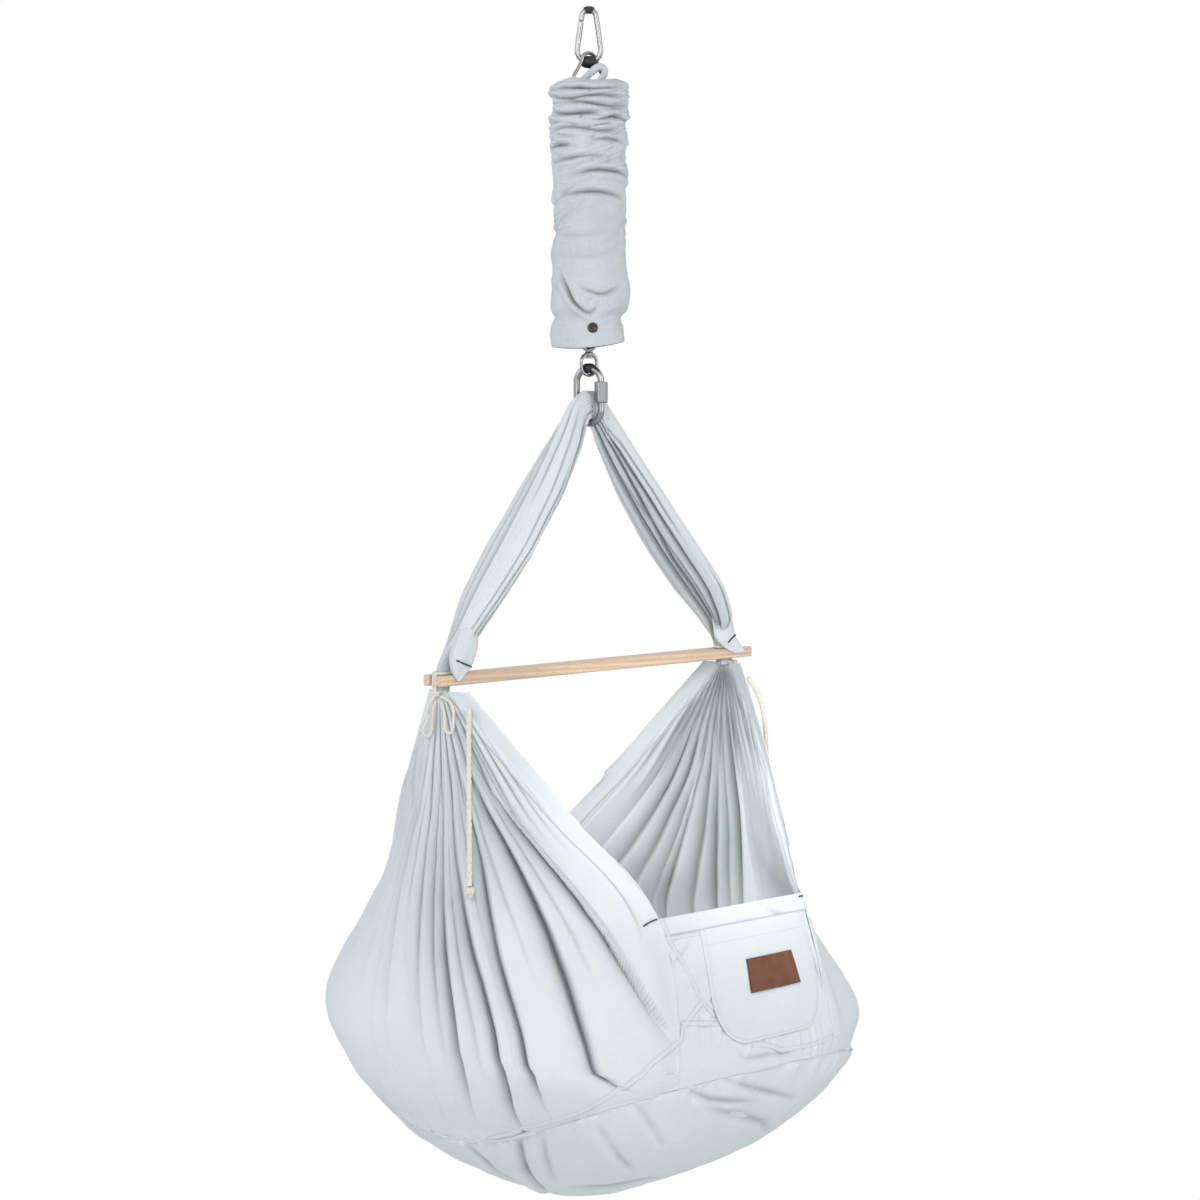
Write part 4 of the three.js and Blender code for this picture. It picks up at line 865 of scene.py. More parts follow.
FAR_BEFORE = [
    (0.50, 0.34, [150, 147, 140, 128, 112, 98, 88, 84, 90, 100, 112, 125, 140, 160, 180, 215]),
    (0.45, 0.38, [235, 230, 222, 210, 196, 184, 178, 180, 192, 206, 220, 238, 256, 280, 305, 340]),
    (0.60, 0.42, [313, 310, 306, 300, 292, 286, 288, 305, 338, 368, 388, 408, 428, 450, 470, 500]),
    (0.55, 0.42, [441, 444, 450, 455, 456, 453, 451, 456, 468, 480, 490, 500, 512, 526, 540, 560]),
]
FAR_BEHIND = [
    (0.50, 0.35, [840, 836, 830, 824, 820, 820, 824, 832, 845, 860, 875, 892, 910, 930, 950, 980]),
]
# The camera sees only the front part of the near panel, so only that part is searched
near_creases = seen_creases(-1, 0.62, NEAR_SEEN) + NEAR_BEHIND
far_creases = FAR_BEFORE + seen_creases(1, 1.0, FAR_SEEN) + FAR_BEHIND


# %% [markdown]
# Past a crease the cloth rises out of its shade to a broad ridge and then drops steeply into
# the next crease. So between two creases the height is a product of a slow rise and a fast
# fall. A sine wave would be simpler, but cloth that hangs in folds never looks like one.

# %% Fold heights
FOLD_DEPTHS = {-1: 0.022, 1: 0.015}
RISE = 0.3
FALL = 0.045


def fold_heights(s, r, creases, widths, depth, main):
    # Heights above the valleys' mean, and how near each point is to a deep crease;
    # widths are the arc lengths of the rows, main is the strength of the folds in each row
    result = np.zeros((len(r), len(s)))
    shade = np.zeros((len(r), len(s)))
    drawn = []
    for _, _, columns in creases:
        course = np.interp(r, FOLD_ROWS, columns) / 1000
        course = np.pad(course, 8, mode="reflect", reflect_type="odd")
        drawn.append(np.convolve(course, np.hanning(19)[1:-1] / 9, "valid"))
    for row, along in enumerate(r):
        places, strengths = [], [0.0]
        for course, (gain, end, _) in zip(drawn, creases):
            places.append(float(course[row]))
            strengths.append(gain * (1 - float(smooth_step(end - 0.25, end + 0.12, along))))
        # An ended fold makes way for its neighbours, further from the front hem
        for k in range(len(places) - 2, -1, -1):
            places[k] = min(places[k], places[k + 1] - 0.006)
        places = [max(at, 0.001 * (k + 1)) for k, at in enumerate(places)]
        for k in range(1, len(places)):
            places[k] = min(max(places[k], places[k - 1] + 0.001), 0.999 - 0.0001 * (20 - k))
        centres = [0.0] + places + [1.0]
        strengths.append(0.0)
        phase = np.interp(s, centres, np.arange(len(centres)))
        cell = np.minimum(phase.astype(int), len(centres) - 2)
        w = phase - cell
        centres = np.array(centres)
        strengths = np.array(strengths)
        ridge = (1 - np.exp(-(w / RISE) ** 1.3)) * (1 - np.exp(-((1 - w) / FALL) ** 1.2))
        strength = strengths[cell] + (strengths[cell + 1] - strengths[cell]) * smooth_step(
            0.25, 0.95, w)
        size = (centres[cell + 1] - centres[cell]) * widths[row]
        room = np.minimum(1, size / 0.036)
        # The cloth lies level with the hems at both ends of the row
        level = smooth_step(0, 0.55, np.minimum(phase, len(centres) - 1 - phase))
        result[row] = depth * main[row] * room * (0.45 * level - (1 - ridge) * strength)
        floor = np.exp(-(w * size / 0.010) ** 1.2) * strengths[cell]
        wall = np.exp(-((1 - w) * size / 0.0022) ** 2) * strengths[cell + 1]
        shade[row] = np.minimum(1, main[row]) * np.maximum(floor, wall) * np.minimum(
            1, size / 0.012)
    return result, shade


# %% Pleats, ripples and puckers
def gather_pleats(s, r, seed, count, reach):
    # Fine crowded pleats close to the gather, which soon run out
    shares = np.broadcast_to(s[None], (len(r), len(s)))
    along = r[:, None]
    random = np.random.default_rng(seed)
    wander = shares.copy()
    for k in (2, 3, 5, 7):
        wander = wander + 0.012 / k * np.sin(TAU * k * shares + random.uniform(0, TAU))
    wander = wander + 0.004 * np.sin(7 * along + 9 * shares)
    ridge = np.abs(np.sin(math.pi * wander * count)) ** 0.8
    fade = smooth_step(0, 0.02, along) * (1 - smooth_step(reach * 0.4, reach, along))
    return 0.0052 * (ridge - 0.6) * fade, (1 - ridge) * fade


def ripples(points, seed, size, height):
    # Soft irregular unevenness of hanging cloth, from a few crossing waves
    random = np.random.default_rng(seed)
    total = np.zeros(points.shape[:-1])
    for _ in range(9):
        direction = random.normal(size=3)
        direction /= np.linalg.norm(direction)
        rate = TAU / (size * random.uniform(0.6, 1.8))
        total += np.sin(points @ direction * rate + random.uniform(0, TAU))
    return total / 9 * height


def puckers(along, away, seed, pitch, height, reach):
    # Small gathers that a tight seam leaves on both of its sides
    table = np.random.default_rng(seed).normal(size=3000)
    place = np.abs(along / pitch) + 2
    cell = np.floor(place).astype(int) % 2998
    part = place - np.floor(place)
    part = part * part * (3 - 2 * part)
    value = table[cell] * (1 - part) + table[cell + 1] * part
    return height * value * np.exp(-(away / reach) ** 2) * (1 - np.exp(-(away / 0.003) ** 2))


# %% Creases pressed into a sheet
CLOTH = 1.6 * MM


def cloth_uv(rows, columns, width, height):
    u, v = np.meshgrid(np.linspace(0, width, columns), np.linspace(0, height, rows))
    return np.stack([u, v], axis=-1)


def line_distance(places, line):
    # Distance of every place to a line of points, and how far along the line it is
    nearest = np.full(places.shape[:-1], 1e3)
    along = np.zeros(places.shape[:-1])
    walked = 0.0
    for a, b in zip(line[:-1], line[1:]):
        step = b - a
        share = np.clip(((places - a) @ step) / max(step @ step, 1e-12), 0, 1)
        away = np.linalg.norm(places - (a + share[..., None] * step), axis=-1)
        along = np.where(away < nearest, walked + share * np.linalg.norm(step), along)
        nearest = np.minimum(nearest, away)
        walked += np.linalg.norm(step)
    return nearest, along, walked


def crease_in(grid, normal, line, depth, width, lean=0.5):
    # A fold line pressed into a sheet, with a rounded swell on one side of it
    away, along, total = line_distance(grid, line)
    taper = np.sin(math.pi * np.clip(along / total, 0.02, 0.98)) ** 0.5
    drop = -depth * np.exp(-(away / width) ** 2) * taper
    across = np.cross(line[-1] - line[0], normal.reshape(-1, 3).mean(axis=0))
    across /= np.linalg.norm(across)
    hand = ((grid - line[len(line) // 2]) @ across) > 0
    swell = depth * lean * np.exp(-((away - 2.2 * width) / (1.6 * width)) ** 2) * taper
    return grid + normal * (drop + np.where(hand, swell, swell * 0.3))[..., None], (
        np.exp(-(away / (width * 0.7)) ** 2) * taper)


# %% End panels
HEM_WIDTH = 0.031
FOLD_STRENGTHS = [0.15, 0.5, 0.9, 1.05, 1.1, 1.0, 0.85, 0.6, 0.3, 0.0]
FOLD_PLACES = [0, 0.05, 0.12, 0.22, 0.4, 0.6, 0.8, 0.92, 0.97, 1]


def end_panel(side, name, seed, creases):
    columns, rows = 640, 250
    grid, s, r = end_surface(side, columns, rows, 1.1)
    outward = grid_normals(grid) * -side
    steps = np.linalg.norm(np.diff(grid, axis=1), axis=-1)
    widths = steps.sum(axis=1)
    reach = np.concatenate([np.zeros((rows, 1)), np.cumsum(steps, axis=1)], axis=1)
    from_hem = np.minimum(reach, widths[:, None] - reach)
    main = np.interp(r, FOLD_PLACES, FOLD_STRENGTHS)
    fold, shade = fold_heights(s, r, creases, widths, FOLD_DEPTHS[side], main)
    pleats, pleat_shade = gather_pleats(s, r, seed, 30, 0.3)
    fold = fold * (1 if side < 0 else -1) + pleats
    hem = smooth_step(HEM_WIDTH * 0.6, HEM_WIDTH * 1.25, from_hem)
    below = smooth_step(0.37, 0.44, r)[:, None]
    hem = np.maximum(hem, below * smooth_step(0, 0.04, from_hem))
    fold = fold * hem
    shade = np.maximum(shade, 0.9 * pleat_shade) * hem
    grid = grid + outward * fold[..., None]
    # The hem is a doubled band, so it stands a little over the single cloth
    band = (1 - smooth_step(HEM_WIDTH - 0.0012, HEM_WIDTH + 0.0012, from_hem)) * (1 - below)
    grid = grid + outward * (0.0011 * band)[..., None]
    shade = np.maximum(shade, 0.55 * np.exp(-((from_hem - HEM_WIDTH) / 0.0013) ** 2) * (1 - below))
    soft = ripples(grid, seed + 7, 0.17, 0.005) + ripples(grid, seed + 8, 0.06, 0.0016)
    grid = grid + outward * (soft * smooth_step(0.08, 0.3, r)[:, None]
                             * smooth_step(1, 0.93, r)[:, None])[..., None]
    down = walked(grid[:, columns // 2])
    tight = puckers(reach, (down[-1] - down)[:, None], seed + 3, 0.009, 0.0014, 0.016)
    tight = tight + puckers(down[:, None], from_hem, seed + 4, 0.012, 0.0007, 0.014) * below
    grid = grid + outward * tight[..., None]
    uv = np.stack([np.broadcast_to(s[None] * 1.1, (rows, columns)),
                   np.broadcast_to(down[:, None], (rows, columns))], axis=-1)
    thing = thicken(name, grid, CLOTH, uv=uv, crease=shade)
    dress(thing, "cradle", "cotton", cotton, name.replace("_cloth", ""))
    return thing, grid, outward, from_hem


near_panel, near_grid, near_out, near_from_hem = end_panel(
    -1, "near_end_panel_cloth", 4, near_creases)
far_panel, far_grid, far_out, far_from_hem = end_panel(
    1, "far_end_panel_cloth", 9, far_creases)


# %% [markdown]
# The front panel hangs nearly flat from its hemmed rim. A curved seam runs down its left side
# and another one under the pocket, and the tight thread puckers the cloth beside them. The
# puckers could be a bump map, but their shadows would then be missing, so they are in the
# mesh. Each seam is a line of points on the panel, given as shares down and across.

# %% Front and back panels
LEFT_SEAM = [(0.0, 0.008), (0.05, 0.026), (0.108, 0.108), (0.167, 0.2), (0.2, 0.29)]
UNDER_SEAM = [(0.205, 0.03), (0.21, 0.18), (0.225, 0.35), (0.267, 0.458), (0.308, 0.525),
              (0.38, 0.63), (0.425, 0.74), (0.4, 0.88), (0.375, 1.0)]
PANEL_WIDTH = 0.29
PANEL_DROP = 0.42


def panel_line(points, count):
    # A smooth line through (v, u) points on the front panel, as places
    marks = catmull(np.array([[v, u, 0.0] for v, u in points]), np.linspace(0, 1, count))
    return np.array([side_points(True, np.array([mark[1]]), np.array([mark[0]]))[0, 0]
                     for mark in marks])


left_seam_line = panel_line(LEFT_SEAM, 40)
under_seam_line = panel_line(UNDER_SEAM, 70)


# %% Sewing in the front and back panels
def side_panel(front, name):
    columns, rows = 230, 230
    grid = side_points(front, np.linspace(0, 1, columns), np.linspace(0, 1, rows))
    normal = grid_normals(grid)
    if (normal[..., 1].mean() > 0) == front:
        normal = -normal
    grid = grid + normal * ripples(grid, 21 + front, 0.12, 0.003)[..., None]
    u = np.linspace(0, 1, columns)[None]
    v = np.linspace(0, 1, rows)[:, None]
    shade = np.zeros((rows, columns))
    if front:
        for line, seed, height in ((left_seam_line, 61, 0.0016), (under_seam_line, 62, 0.0013)):
            away, along, _ = line_distance(grid, line)
            grid = grid + normal * (puckers(along, away, seed, 0.007, height, 0.022)
                                    - 0.0012 * np.exp(-(away / 0.004) ** 2))[..., None]
            shade = np.maximum(shade, 0.6 * np.exp(-(away / 0.0022) ** 2))
        for points, depth in (([(0.3, 0.42), (0.4, 0.5), (0.62, 0.62)], 0.005),
                              ([(0.02, 0.72), (0.05, 0.85), (0.06, 0.97)], 0.003),
                              ([(0.09, 0.9), (0.14, 0.97), (0.2, 1.0)], 0.003)):
            grid, mark = crease_in(grid, normal, panel_line(points, 20), depth, 0.005)
            shade = np.maximum(shade, 0.35 * mark)
    rim = v * PANEL_DROP * 1.35
    grid = grid + normal * (0.0009 * (1 - smooth_step(0.0215, 0.0235, rim)))[..., None]
    shade = np.maximum(shade, 0.5 * np.exp(-((rim - 0.0225) / 0.0013) ** 2) * np.ones_like(u))
    uv = cloth_uv(rows, columns, PANEL_WIDTH, PANEL_DROP)
    thing = thicken(name, grid, CLOTH, uv=uv, crease=shade)
    dress(thing, "cradle", "cotton", cotton, name.replace("_cloth", ""))
    return thing, grid, normal


front_panel, front_grid, front_out = side_panel(True, "front_panel_cloth")
back_panel, back_grid, back_out = side_panel(False, "back_panel_cloth")


# %% [markdown]
# The base panel is the bowl that the child lies in. The seam pulls its edge together, and the
# cloth between the seam and the belly slackens into a few short creases. They could be random,
# but those that the photograph shows were read from it, and the others follow their manner.

# %% Base panel
# Creases are (angle in degrees, share) points and a depth
BASE_CREASES = [
    ([(206, 1.0), (205, 0.94), (202, 0.74), (199, 0.48), (197, 0.3)], 0.009, 0.006),
    ([(214, 0.97), (213, 0.8), (213, 0.62)], 0.003, 0.006),
    ([(232, 0.93), (240, 0.71), (246, 0.6)], 0.0045, 0.006),
    ([(243, 0.98), (253, 0.73)], 0.004, 0.006),
    ([(256, 0.99), (263, 0.9), (270, 0.84)], 0.0045, 0.006),
    ([(265, 0.99), (270, 0.9), (280, 0.8)], 0.004, 0.006),
    ([(262, 0.88), (275, 0.7), (284, 0.62)], 0.004, 0.008),
    ([(186, 0.98), (185, 0.8), (184, 0.55)], 0.005, 0.008),
    ([(168, 0.98), (167, 0.8)], 0.004, 0.008),
    ([(222, 0.5), (246, 0.42), (262, 0.44)], 0.004, 0.012),
    ([(20, 0.98), (18, 0.7)], 0.004, 0.008),
    ([(340, 0.97), (336, 0.72)], 0.004, 0.008),
    ([(100, 0.95), (96, 0.6)], 0.004, 0.009),
]


# %% Shaping the bowl
def base_panel():
    columns, rows = 720, 170
    angle = np.arange(columns) * TAU / columns
    shares = np.linspace(0.02, 1, rows)
    grid = np.array([bowl(angle, seam_share(angle) * share * 0.998) for share in shares])
    normal = grid_normals(grid, True)
    if normal[rows // 2, :, 2].mean() > 0:
        normal = -normal
    edge = smooth_step(1, 0.8, shares)[:, None, None]
    grid = grid + normal * (ripples(grid, 33, 0.15, 0.005)
                            + ripples(grid, 34, 0.05, 0.0018))[..., None] * edge
    rim = np.linalg.norm(grid - grid[-1][None], axis=-1)
    tight = puckers(angle[None] * 0.33, rim, 71, 0.009, 0.0022, 0.024)
    grid = grid + normal * tight[..., None]
    shade = np.zeros((rows, columns))
    for points, depth, width in BASE_CREASES:
        turns = np.radians([p[0] for p in points])
        line = np.array([bowl(np.array([a]), seam_share(np.array([a])) * p[1])[0]
                         for a, p in zip(turns, points)])
        grid, mark = crease_in(grid, normal, line, depth, width)
        shade = np.maximum(shade, mark * min(1, depth / 0.008))
    uv = np.stack([grid[..., 0], grid[..., 1]], axis=-1)
    thing = thicken("base_panel_cloth", grid, CLOTH, wrap=True, uv=uv, crease=shade)
    dress(thing, "cradle", "cotton", cotton, "base_panel")
    return thing, normal


base, base_out = base_panel()


# %% [markdown]
# A row of stitches is many short threads that dip into the cloth at both ends. Each could be
# its own object, but hundreds of objects are slow. So a whole row is one mesh: every thread
# is a short tube with five sides, laid along a line on the cloth and turned to its normal.

# %% Stitches
def stitch_line(points, normals, pitch, share=0.62, radius=0.45 * MM, lift=0.5 * MM):
    # Centres and directions of the threads along the line, as flat tubes of five sides
    points = np.asarray(points)
    reach = walked(points)
    count = max(2, int(reach[-1] / pitch))
    starts = (np.arange(count) + 0.2) * reach[-1] / count
    length = reach[-1] / count * share
    vertices, faces = [], []
    sides = 5
    for start in starts:
        marks = start + length * np.array([0, 0.2, 0.8, 1])
        place = placed(points, reach, marks)
        up = np.array([np.interp(start, reach, normals[:, k]) for k in range(3)])
        up /= np.linalg.norm(up)
        along = place[-1] - place[0]
        along /= max(np.linalg.norm(along), 1e-9)
        out = np.cross(along, up)
        base = len(vertices)
        for centre, size, rise in zip(place, (0.3, 1, 1, 0.3), (0.2, 1, 1, 0.2)):
            for j in range(sides):
                turn = TAU * j / sides
                vertices.append(centre + up * (lift * rise + radius * size * math.sin(turn))
                                + out * radius * size * math.cos(turn))
        for ring in range(3):
            for j in range(sides):
                k = (j + 1) % sides
                low, high = base + ring * sides, base + (ring + 1) * sides
                faces.append([low + j, low + k, high + k, high + j])
        faces.append([base + j for j in reversed(range(sides))])
        faces.append([base + 3 * sides + j for j in range(sides)])
    return np.array(vertices), faces


def stitches(name, lines):
    points, faces = [], []
    for vertices, quads in lines:
        faces += [[index + len(points) for index in quad] for quad in quads]
        points += vertices.tolist()
    thing = mesh_object(name, points, faces)
    return dress(thing, "cradle", "cotton", thread_pale)


# %% [markdown]
# The sling strap is a long hemmed cloth that is laid over the bow of the quick link and drawn
# together again in both slots of the bar. Folding a flat sheet that often would tear the
# mesh, so each leg is one thick bundle. Its folds are slots in the bundle's skin, with a
# gentle floor on one side and a steep wall on the other, as overlapping layers have them.

# %% Strap path
BAR_DROP = 0.8595
BAR_THICK = 0.0135
STRAP_LOW = -0.85245
STRAP_TOP = -0.51237
STRAP_HALF_WIDTH = 0.038
STRAP_HALF_THICK = 0.020
NEAR_STATIONS = [(0, 1, 0.17, 1, 0), (0.06, 0.97, 0.17, 1, 0), (0.16, 0.86, 0.52, 1, 0),
                 (0.34, 0.665, 0.9, 0.95, 0), (0.55, 0.455, 1, 0.9, 0),
                 (0.75, 0.265, 0.82, 0.8, 0), (0.89, 0.125, 0.5, 0.7, 0.05),
                 (0.965, 0.055, 0.14, 0.6, 0), (1, 0, 0.126, 0.6, 0)]
FAR_STATIONS = [(0, 1, 0.17, 1, 0), (0.06, 0.97, 0.17, 1, 0), (0.16, 0.86, 0.52, 1, 0),
                (0.34, 0.665, 0.92, 0.95, 0.05), (0.55, 0.455, 1.12, 0.9, 0.16),
                (0.75, 0.265, 1.12, 0.8, 0.34), (0.89, 0.125, 0.68, 0.7, 0.36),
                (0.965, 0.055, 0.14, 0.6, 0.02), (1, 0, 0.126, 0.6, 0)]
NECK_BOTTOM = -0.876
NECK_RINGS = 13
NECK_HALF_WIDTH = 0.0048
NECK_HALF_THICK = 0.012


def strap_path(side, rows):
    stations = np.array(NEAR_STATIONS if side < 0 else FAR_STATIONS)
    points = np.stack([side * GATHER_REACH * stations[:, 0], -STRAP_HALF_WIDTH * stations[:, 4],
                       STRAP_LOW + (STRAP_TOP - STRAP_LOW) * stations[:, 1]], axis=1)
    share = np.linspace(0, 1, rows)
    path = catmull(points, share)
    at = share * (len(stations) - 1)
    order = np.arange(len(stations))
    wide = np.interp(at, order, stations[:, 2]) * STRAP_HALF_WIDTH
    thick = np.interp(at, order, stations[:, 3]) * STRAP_HALF_THICK
    blur = np.ones(9) / 9
    wide = np.convolve(np.pad(wide, 4, mode="edge"), blur, "valid")
    # Below the bar's top the bundle stands straight in the slot
    neck = np.linspace(STRAP_LOW, NECK_BOTTOM, NECK_RINGS + 1)[1:]
    neck_path = np.stack([np.full(NECK_RINGS, side * GATHER_REACH), np.zeros(NECK_RINGS), neck],
                         axis=1)
    path = np.concatenate([path, neck_path])
    wide = np.concatenate([wide, np.full(NECK_RINGS, NECK_HALF_WIDTH)])
    thick = np.concatenate([thick, np.full(NECK_RINGS, NECK_HALF_THICK)])
    return path, wide, thick


# %% Strap folds
# Fold lines of the bundles: (share from link to bar, angle in degrees) points, the depth, and
# the side the upper layer lies on. Angles run from the back edge over the top to the front
# edge; behind +1 the cloth past the line lies on top, behind -1 the cloth before it
NEAR_FOLDS = [
    ([(0, 58), (0.1, 62), (0.3, 86), (0.6, 91), (0.85, 92), (1, 84)], 0.0085, 1),
    ([(0.2, 60), (0.4, 68), (0.7, 66), (0.9, 62)], 0.006, 1),
    ([(0.25, 36), (0.45, 46), (0.7, 45), (0.9, 40)], 0.006, 1),
    ([(0.12, 150), (0.35, 148), (0.55, 153), (0.75, 146)], 0.0022, -1),
    ([(0.05, 110), (0.2, 116), (0.38, 112)], 0.0022, 1),
    ([(0.3, 182), (0.6, 176), (0.9, 170)], 0.003, 1),
    ([(0, 205), (0.5, 214), (1, 205)], 0.007, 1),
    ([(0, 330), (0.5, 340), (1, 335)], 0.006, 1),
    ([(0, 300), (0.4, 305), (1, 295)], 0.006, -1),
    ([(0, 265), (0.5, 270), (1, 262)], 0.006, 1),
    ([(0, 236), (0.5, 238), (1, 232)], 0.006, -1),
    ([(0, 10), (0.5, 14), (1, 12)], 0.006, 1),
]
FAR_FOLDS = [
    ([(0, 250), (0.06, 256), (0.3, 275), (0.55, 279), (0.85, 275), (1, 268)], 0.0085, 1),
    ([(0, 208), (0.06, 205), (0.3, 217), (0.55, 225), (0.85, 243), (1, 240)], 0.009, -1),
    ([(0.06, 228), (0.25, 236), (0.5, 262), (0.8, 262), (1, 258)], 0.008, 1),
    ([(0.3, 262), (0.5, 246), (0.75, 252), (1, 250)], 0.007, -1),
    ([(0.05, 190), (0.3, 196), (0.45, 204)], 0.003, -1),
    ([(0.2, 300), (0.6, 306), (0.9, 300)], 0.002, 1),
    ([(0.55, 184), (0.75, 192), (1, 205)], 0.003, -1),
    ([(0, 330), (0.5, 336), (1, 330)], 0.006, 1),
    ([(0, 20), (0.5, 26), (1, 20)], 0.006, -1),
    ([(0, 60), (0.5, 64), (1, 58)], 0.006, 1),
    ([(0, 96), (0.5, 100), (1, 96)], 0.006, -1),
    ([(0, 126), (0.5, 132), (1, 128)], 0.006, 1),
]


def fold_grooves(turn, share, folds, girth):
    # Each fold is a slot with a gentle floor on one side and a steep wall on the other
    depth = np.zeros((len(share), len(turn)))
    shade = np.zeros((len(share), len(turn)))
    for line, deep, hand in folds:
        at = np.radians(np.interp(share, [p[0] for p in line], [p[1] for p in line]))
        first, last = line[0][0], line[-1][0]
        fade = np.ones(len(share))
        if first > 0.02:
            fade = fade * smooth_step(first - 0.04, first + 0.05, share)
        if last < 0.98:
            fade = fade * (1 - smooth_step(last - 0.06, last + 0.04, share))
        away = (turn[None] - at[:, None] + math.pi) % TAU - math.pi
        away = away / TAU * girth[:, None] * -hand
        floor = np.exp(-(np.maximum(away, 0) / (0.42 * deep + 0.0018)) ** 1.2)
        wall = np.exp(-(np.minimum(away, 0) / 0.0013) ** 2)
        groove = np.minimum(floor, wall) * fade[:, None]
        depth = np.maximum(depth, deep * groove)
        line_shade = np.exp(-(np.abs(away) / 0.0016) ** 2) * fade[:, None]
        dark = np.maximum(0.8 * groove ** 1.6, line_shade)
        shade = np.maximum(shade, min(1, deep / 0.0045) * dark)
    return depth, shade


# %% Strap bundles
def strap_bundle(side, folds):
    rows, around = 230, 420
    path, wide, thick = strap_path(side, rows)
    tangent = np.gradient(path, axis=0)
    tangent /= np.linalg.norm(tangent, axis=1, keepdims=True)
    up = np.cross(np.array([0, 1.0, 0]), tangent)
    up /= np.linalg.norm(up, axis=1, keepdims=True)
    up *= np.where(up[:, 2:3] < 0, -1, 1)
    turn = np.arange(around) * TAU / around
    share = np.linspace(0, 1, len(path))
    girth = TAU * np.sqrt((wide ** 2 + thick ** 2) / 2)
    wobble = 2 * np.sin(9 * share + side) + 1.5 * np.sin(23 * share)
    grooves, shade = fold_grooves(turn, share, folds, girth)
    size = np.minimum(1, np.minimum(wide, thick) / 0.014)[:, None]
    fine = np.abs(np.sin(turn[None] * 14 + wobble[:, None] * 0.3))
    ends = 1 - smooth_step(0.02, 0.14, np.minimum(share, 1 - share))[:, None]
    depth = 0.0016 - grooves * size - 0.0012 * (1 - fine) * (0.25 + 0.75 * ends)
    depth = np.maximum(depth, -0.5 * np.minimum(wide, thick)[:, None])
    y = (wide[:, None] + depth) * np.cos(turn)[None]
    z = (thick[:, None] + depth) * np.sin(turn)[None]
    grid = path[:, None] + up[:, None] * z[..., None] + np.array([0, 1.0, 0]) * y[..., None]
    shade = np.maximum(shade * size, 0.45 * (1 - fine) ** 2 * ends)
    out = up[:, None] * np.sin(turn)[None, :, None] + (
        np.array([0, 1.0, 0]) * np.cos(turn)[None, :, None])
    soft = ripples(grid, 90 + side, 0.13, 0.0016) + ripples(grid, 95 + side, 0.035, 0.0006)
    calm = smooth_step(0.03, 0.15, share)[:, None] * (1 - smooth_step(0.85, 0.95, share)[:, None])
    grid = grid + out * (soft * calm)[..., None]
    return grid, shade


# %% Strap over the link
LINK_SEAT = -0.53747
LINK_BEND = 0.018
LINK_WIRE = 0.009
LINK_TURN = math.radians(-75)
SEAT_GAP = 0.9 * MM
SEAT_HALF_WIDTH = 0.0165
SEAT_LOWEST = -0.56
# The link's nut stands beside the bundle from here to there along the bar, above this height
NUT_SPAN = (-0.016, 0.040)
NUT_LOWEST = -0.57
NUT_ROOM = 0.0066


def strap():
    near, near_shade = strap_bundle(-1, NEAR_FOLDS)
    far, far_shade = strap_bundle(1, FAR_FOLDS)
    rings = np.concatenate([near[::-1], far[1:]])
    shade = np.concatenate([near_shade[::-1], far_shade[1:]])
    count, around = rings.shape[:2]
    points, faces = capped(rings, rings[0].mean(axis=0), rings[-1].mean(axis=0))
    uv = np.stack([np.tile(np.linspace(0, 0.3, around), count),
                   np.repeat(np.linspace(0, 1.1, count), around)], axis=1)
    uv = np.concatenate([uv, uv[:2]])
    thing = mesh_object("sling_strap_cloth", points, faces, uv)
    paint(thing, crease=np.concatenate([shade.ravel(), [0, 0]]))
    dress(thing, "cradle", "cotton", cotton, "sling_strap")
    # The bow of the link sinks into the cloth, which dips under it
    mesh = thing.data
    place = np.empty(len(mesh.vertices) * 3)
    mesh.vertices.foreach_get("co", place)
    place = place.reshape(-1, 3)
    along = place[:, 0] * -math.sin(LINK_TURN) + place[:, 1] * math.cos(LINK_TURN)
    across = place[:, 0] * math.cos(LINK_TURN) + place[:, 1] * math.sin(LINK_TURN)
    bow = LINK_SEAT + LINK_BEND - np.sqrt(np.maximum(LINK_BEND ** 2 - across ** 2, 1e-6))
    reach = LINK_WIRE / 2 + SEAT_GAP
    seat = bow + np.sqrt(np.maximum(reach ** 2 - along ** 2, 0))
    inside = (np.abs(along) < reach) & (place[:, 2] < seat)
    inside &= (np.abs(across) < SEAT_HALF_WIDTH) & (place[:, 2] > SEAT_LOWEST)
    place[inside, 2] = seat[inside]
    # The nut runs down past the bundle, which gives it room on that side
    by_nut = (place[:, 0] > NUT_SPAN[0]) & (place[:, 0] < NUT_SPAN[1])
    by_nut &= place[:, 2] > NUT_LOWEST
    room = NUT_ROOM + 0.9 * np.maximum(0, place[:, 0] - 0.027)
    place[:, 1] = np.where(by_nut, np.maximum(place[:, 1], -room), place[:, 1])
    mesh.vertices.foreach_set("co", place.ravel())
    mesh.update()
    return thing


strap_cloth = strap()


# %% [markdown]
# Where the strap enters the bar, the end of its hem band lies over the bar's front face as a
# small pointed tab, and a short row of dark thread tacks it down. A tab could be cut out of
# the strap's bundle, but it is a flat layer of its own, so it is a sheet of its own.

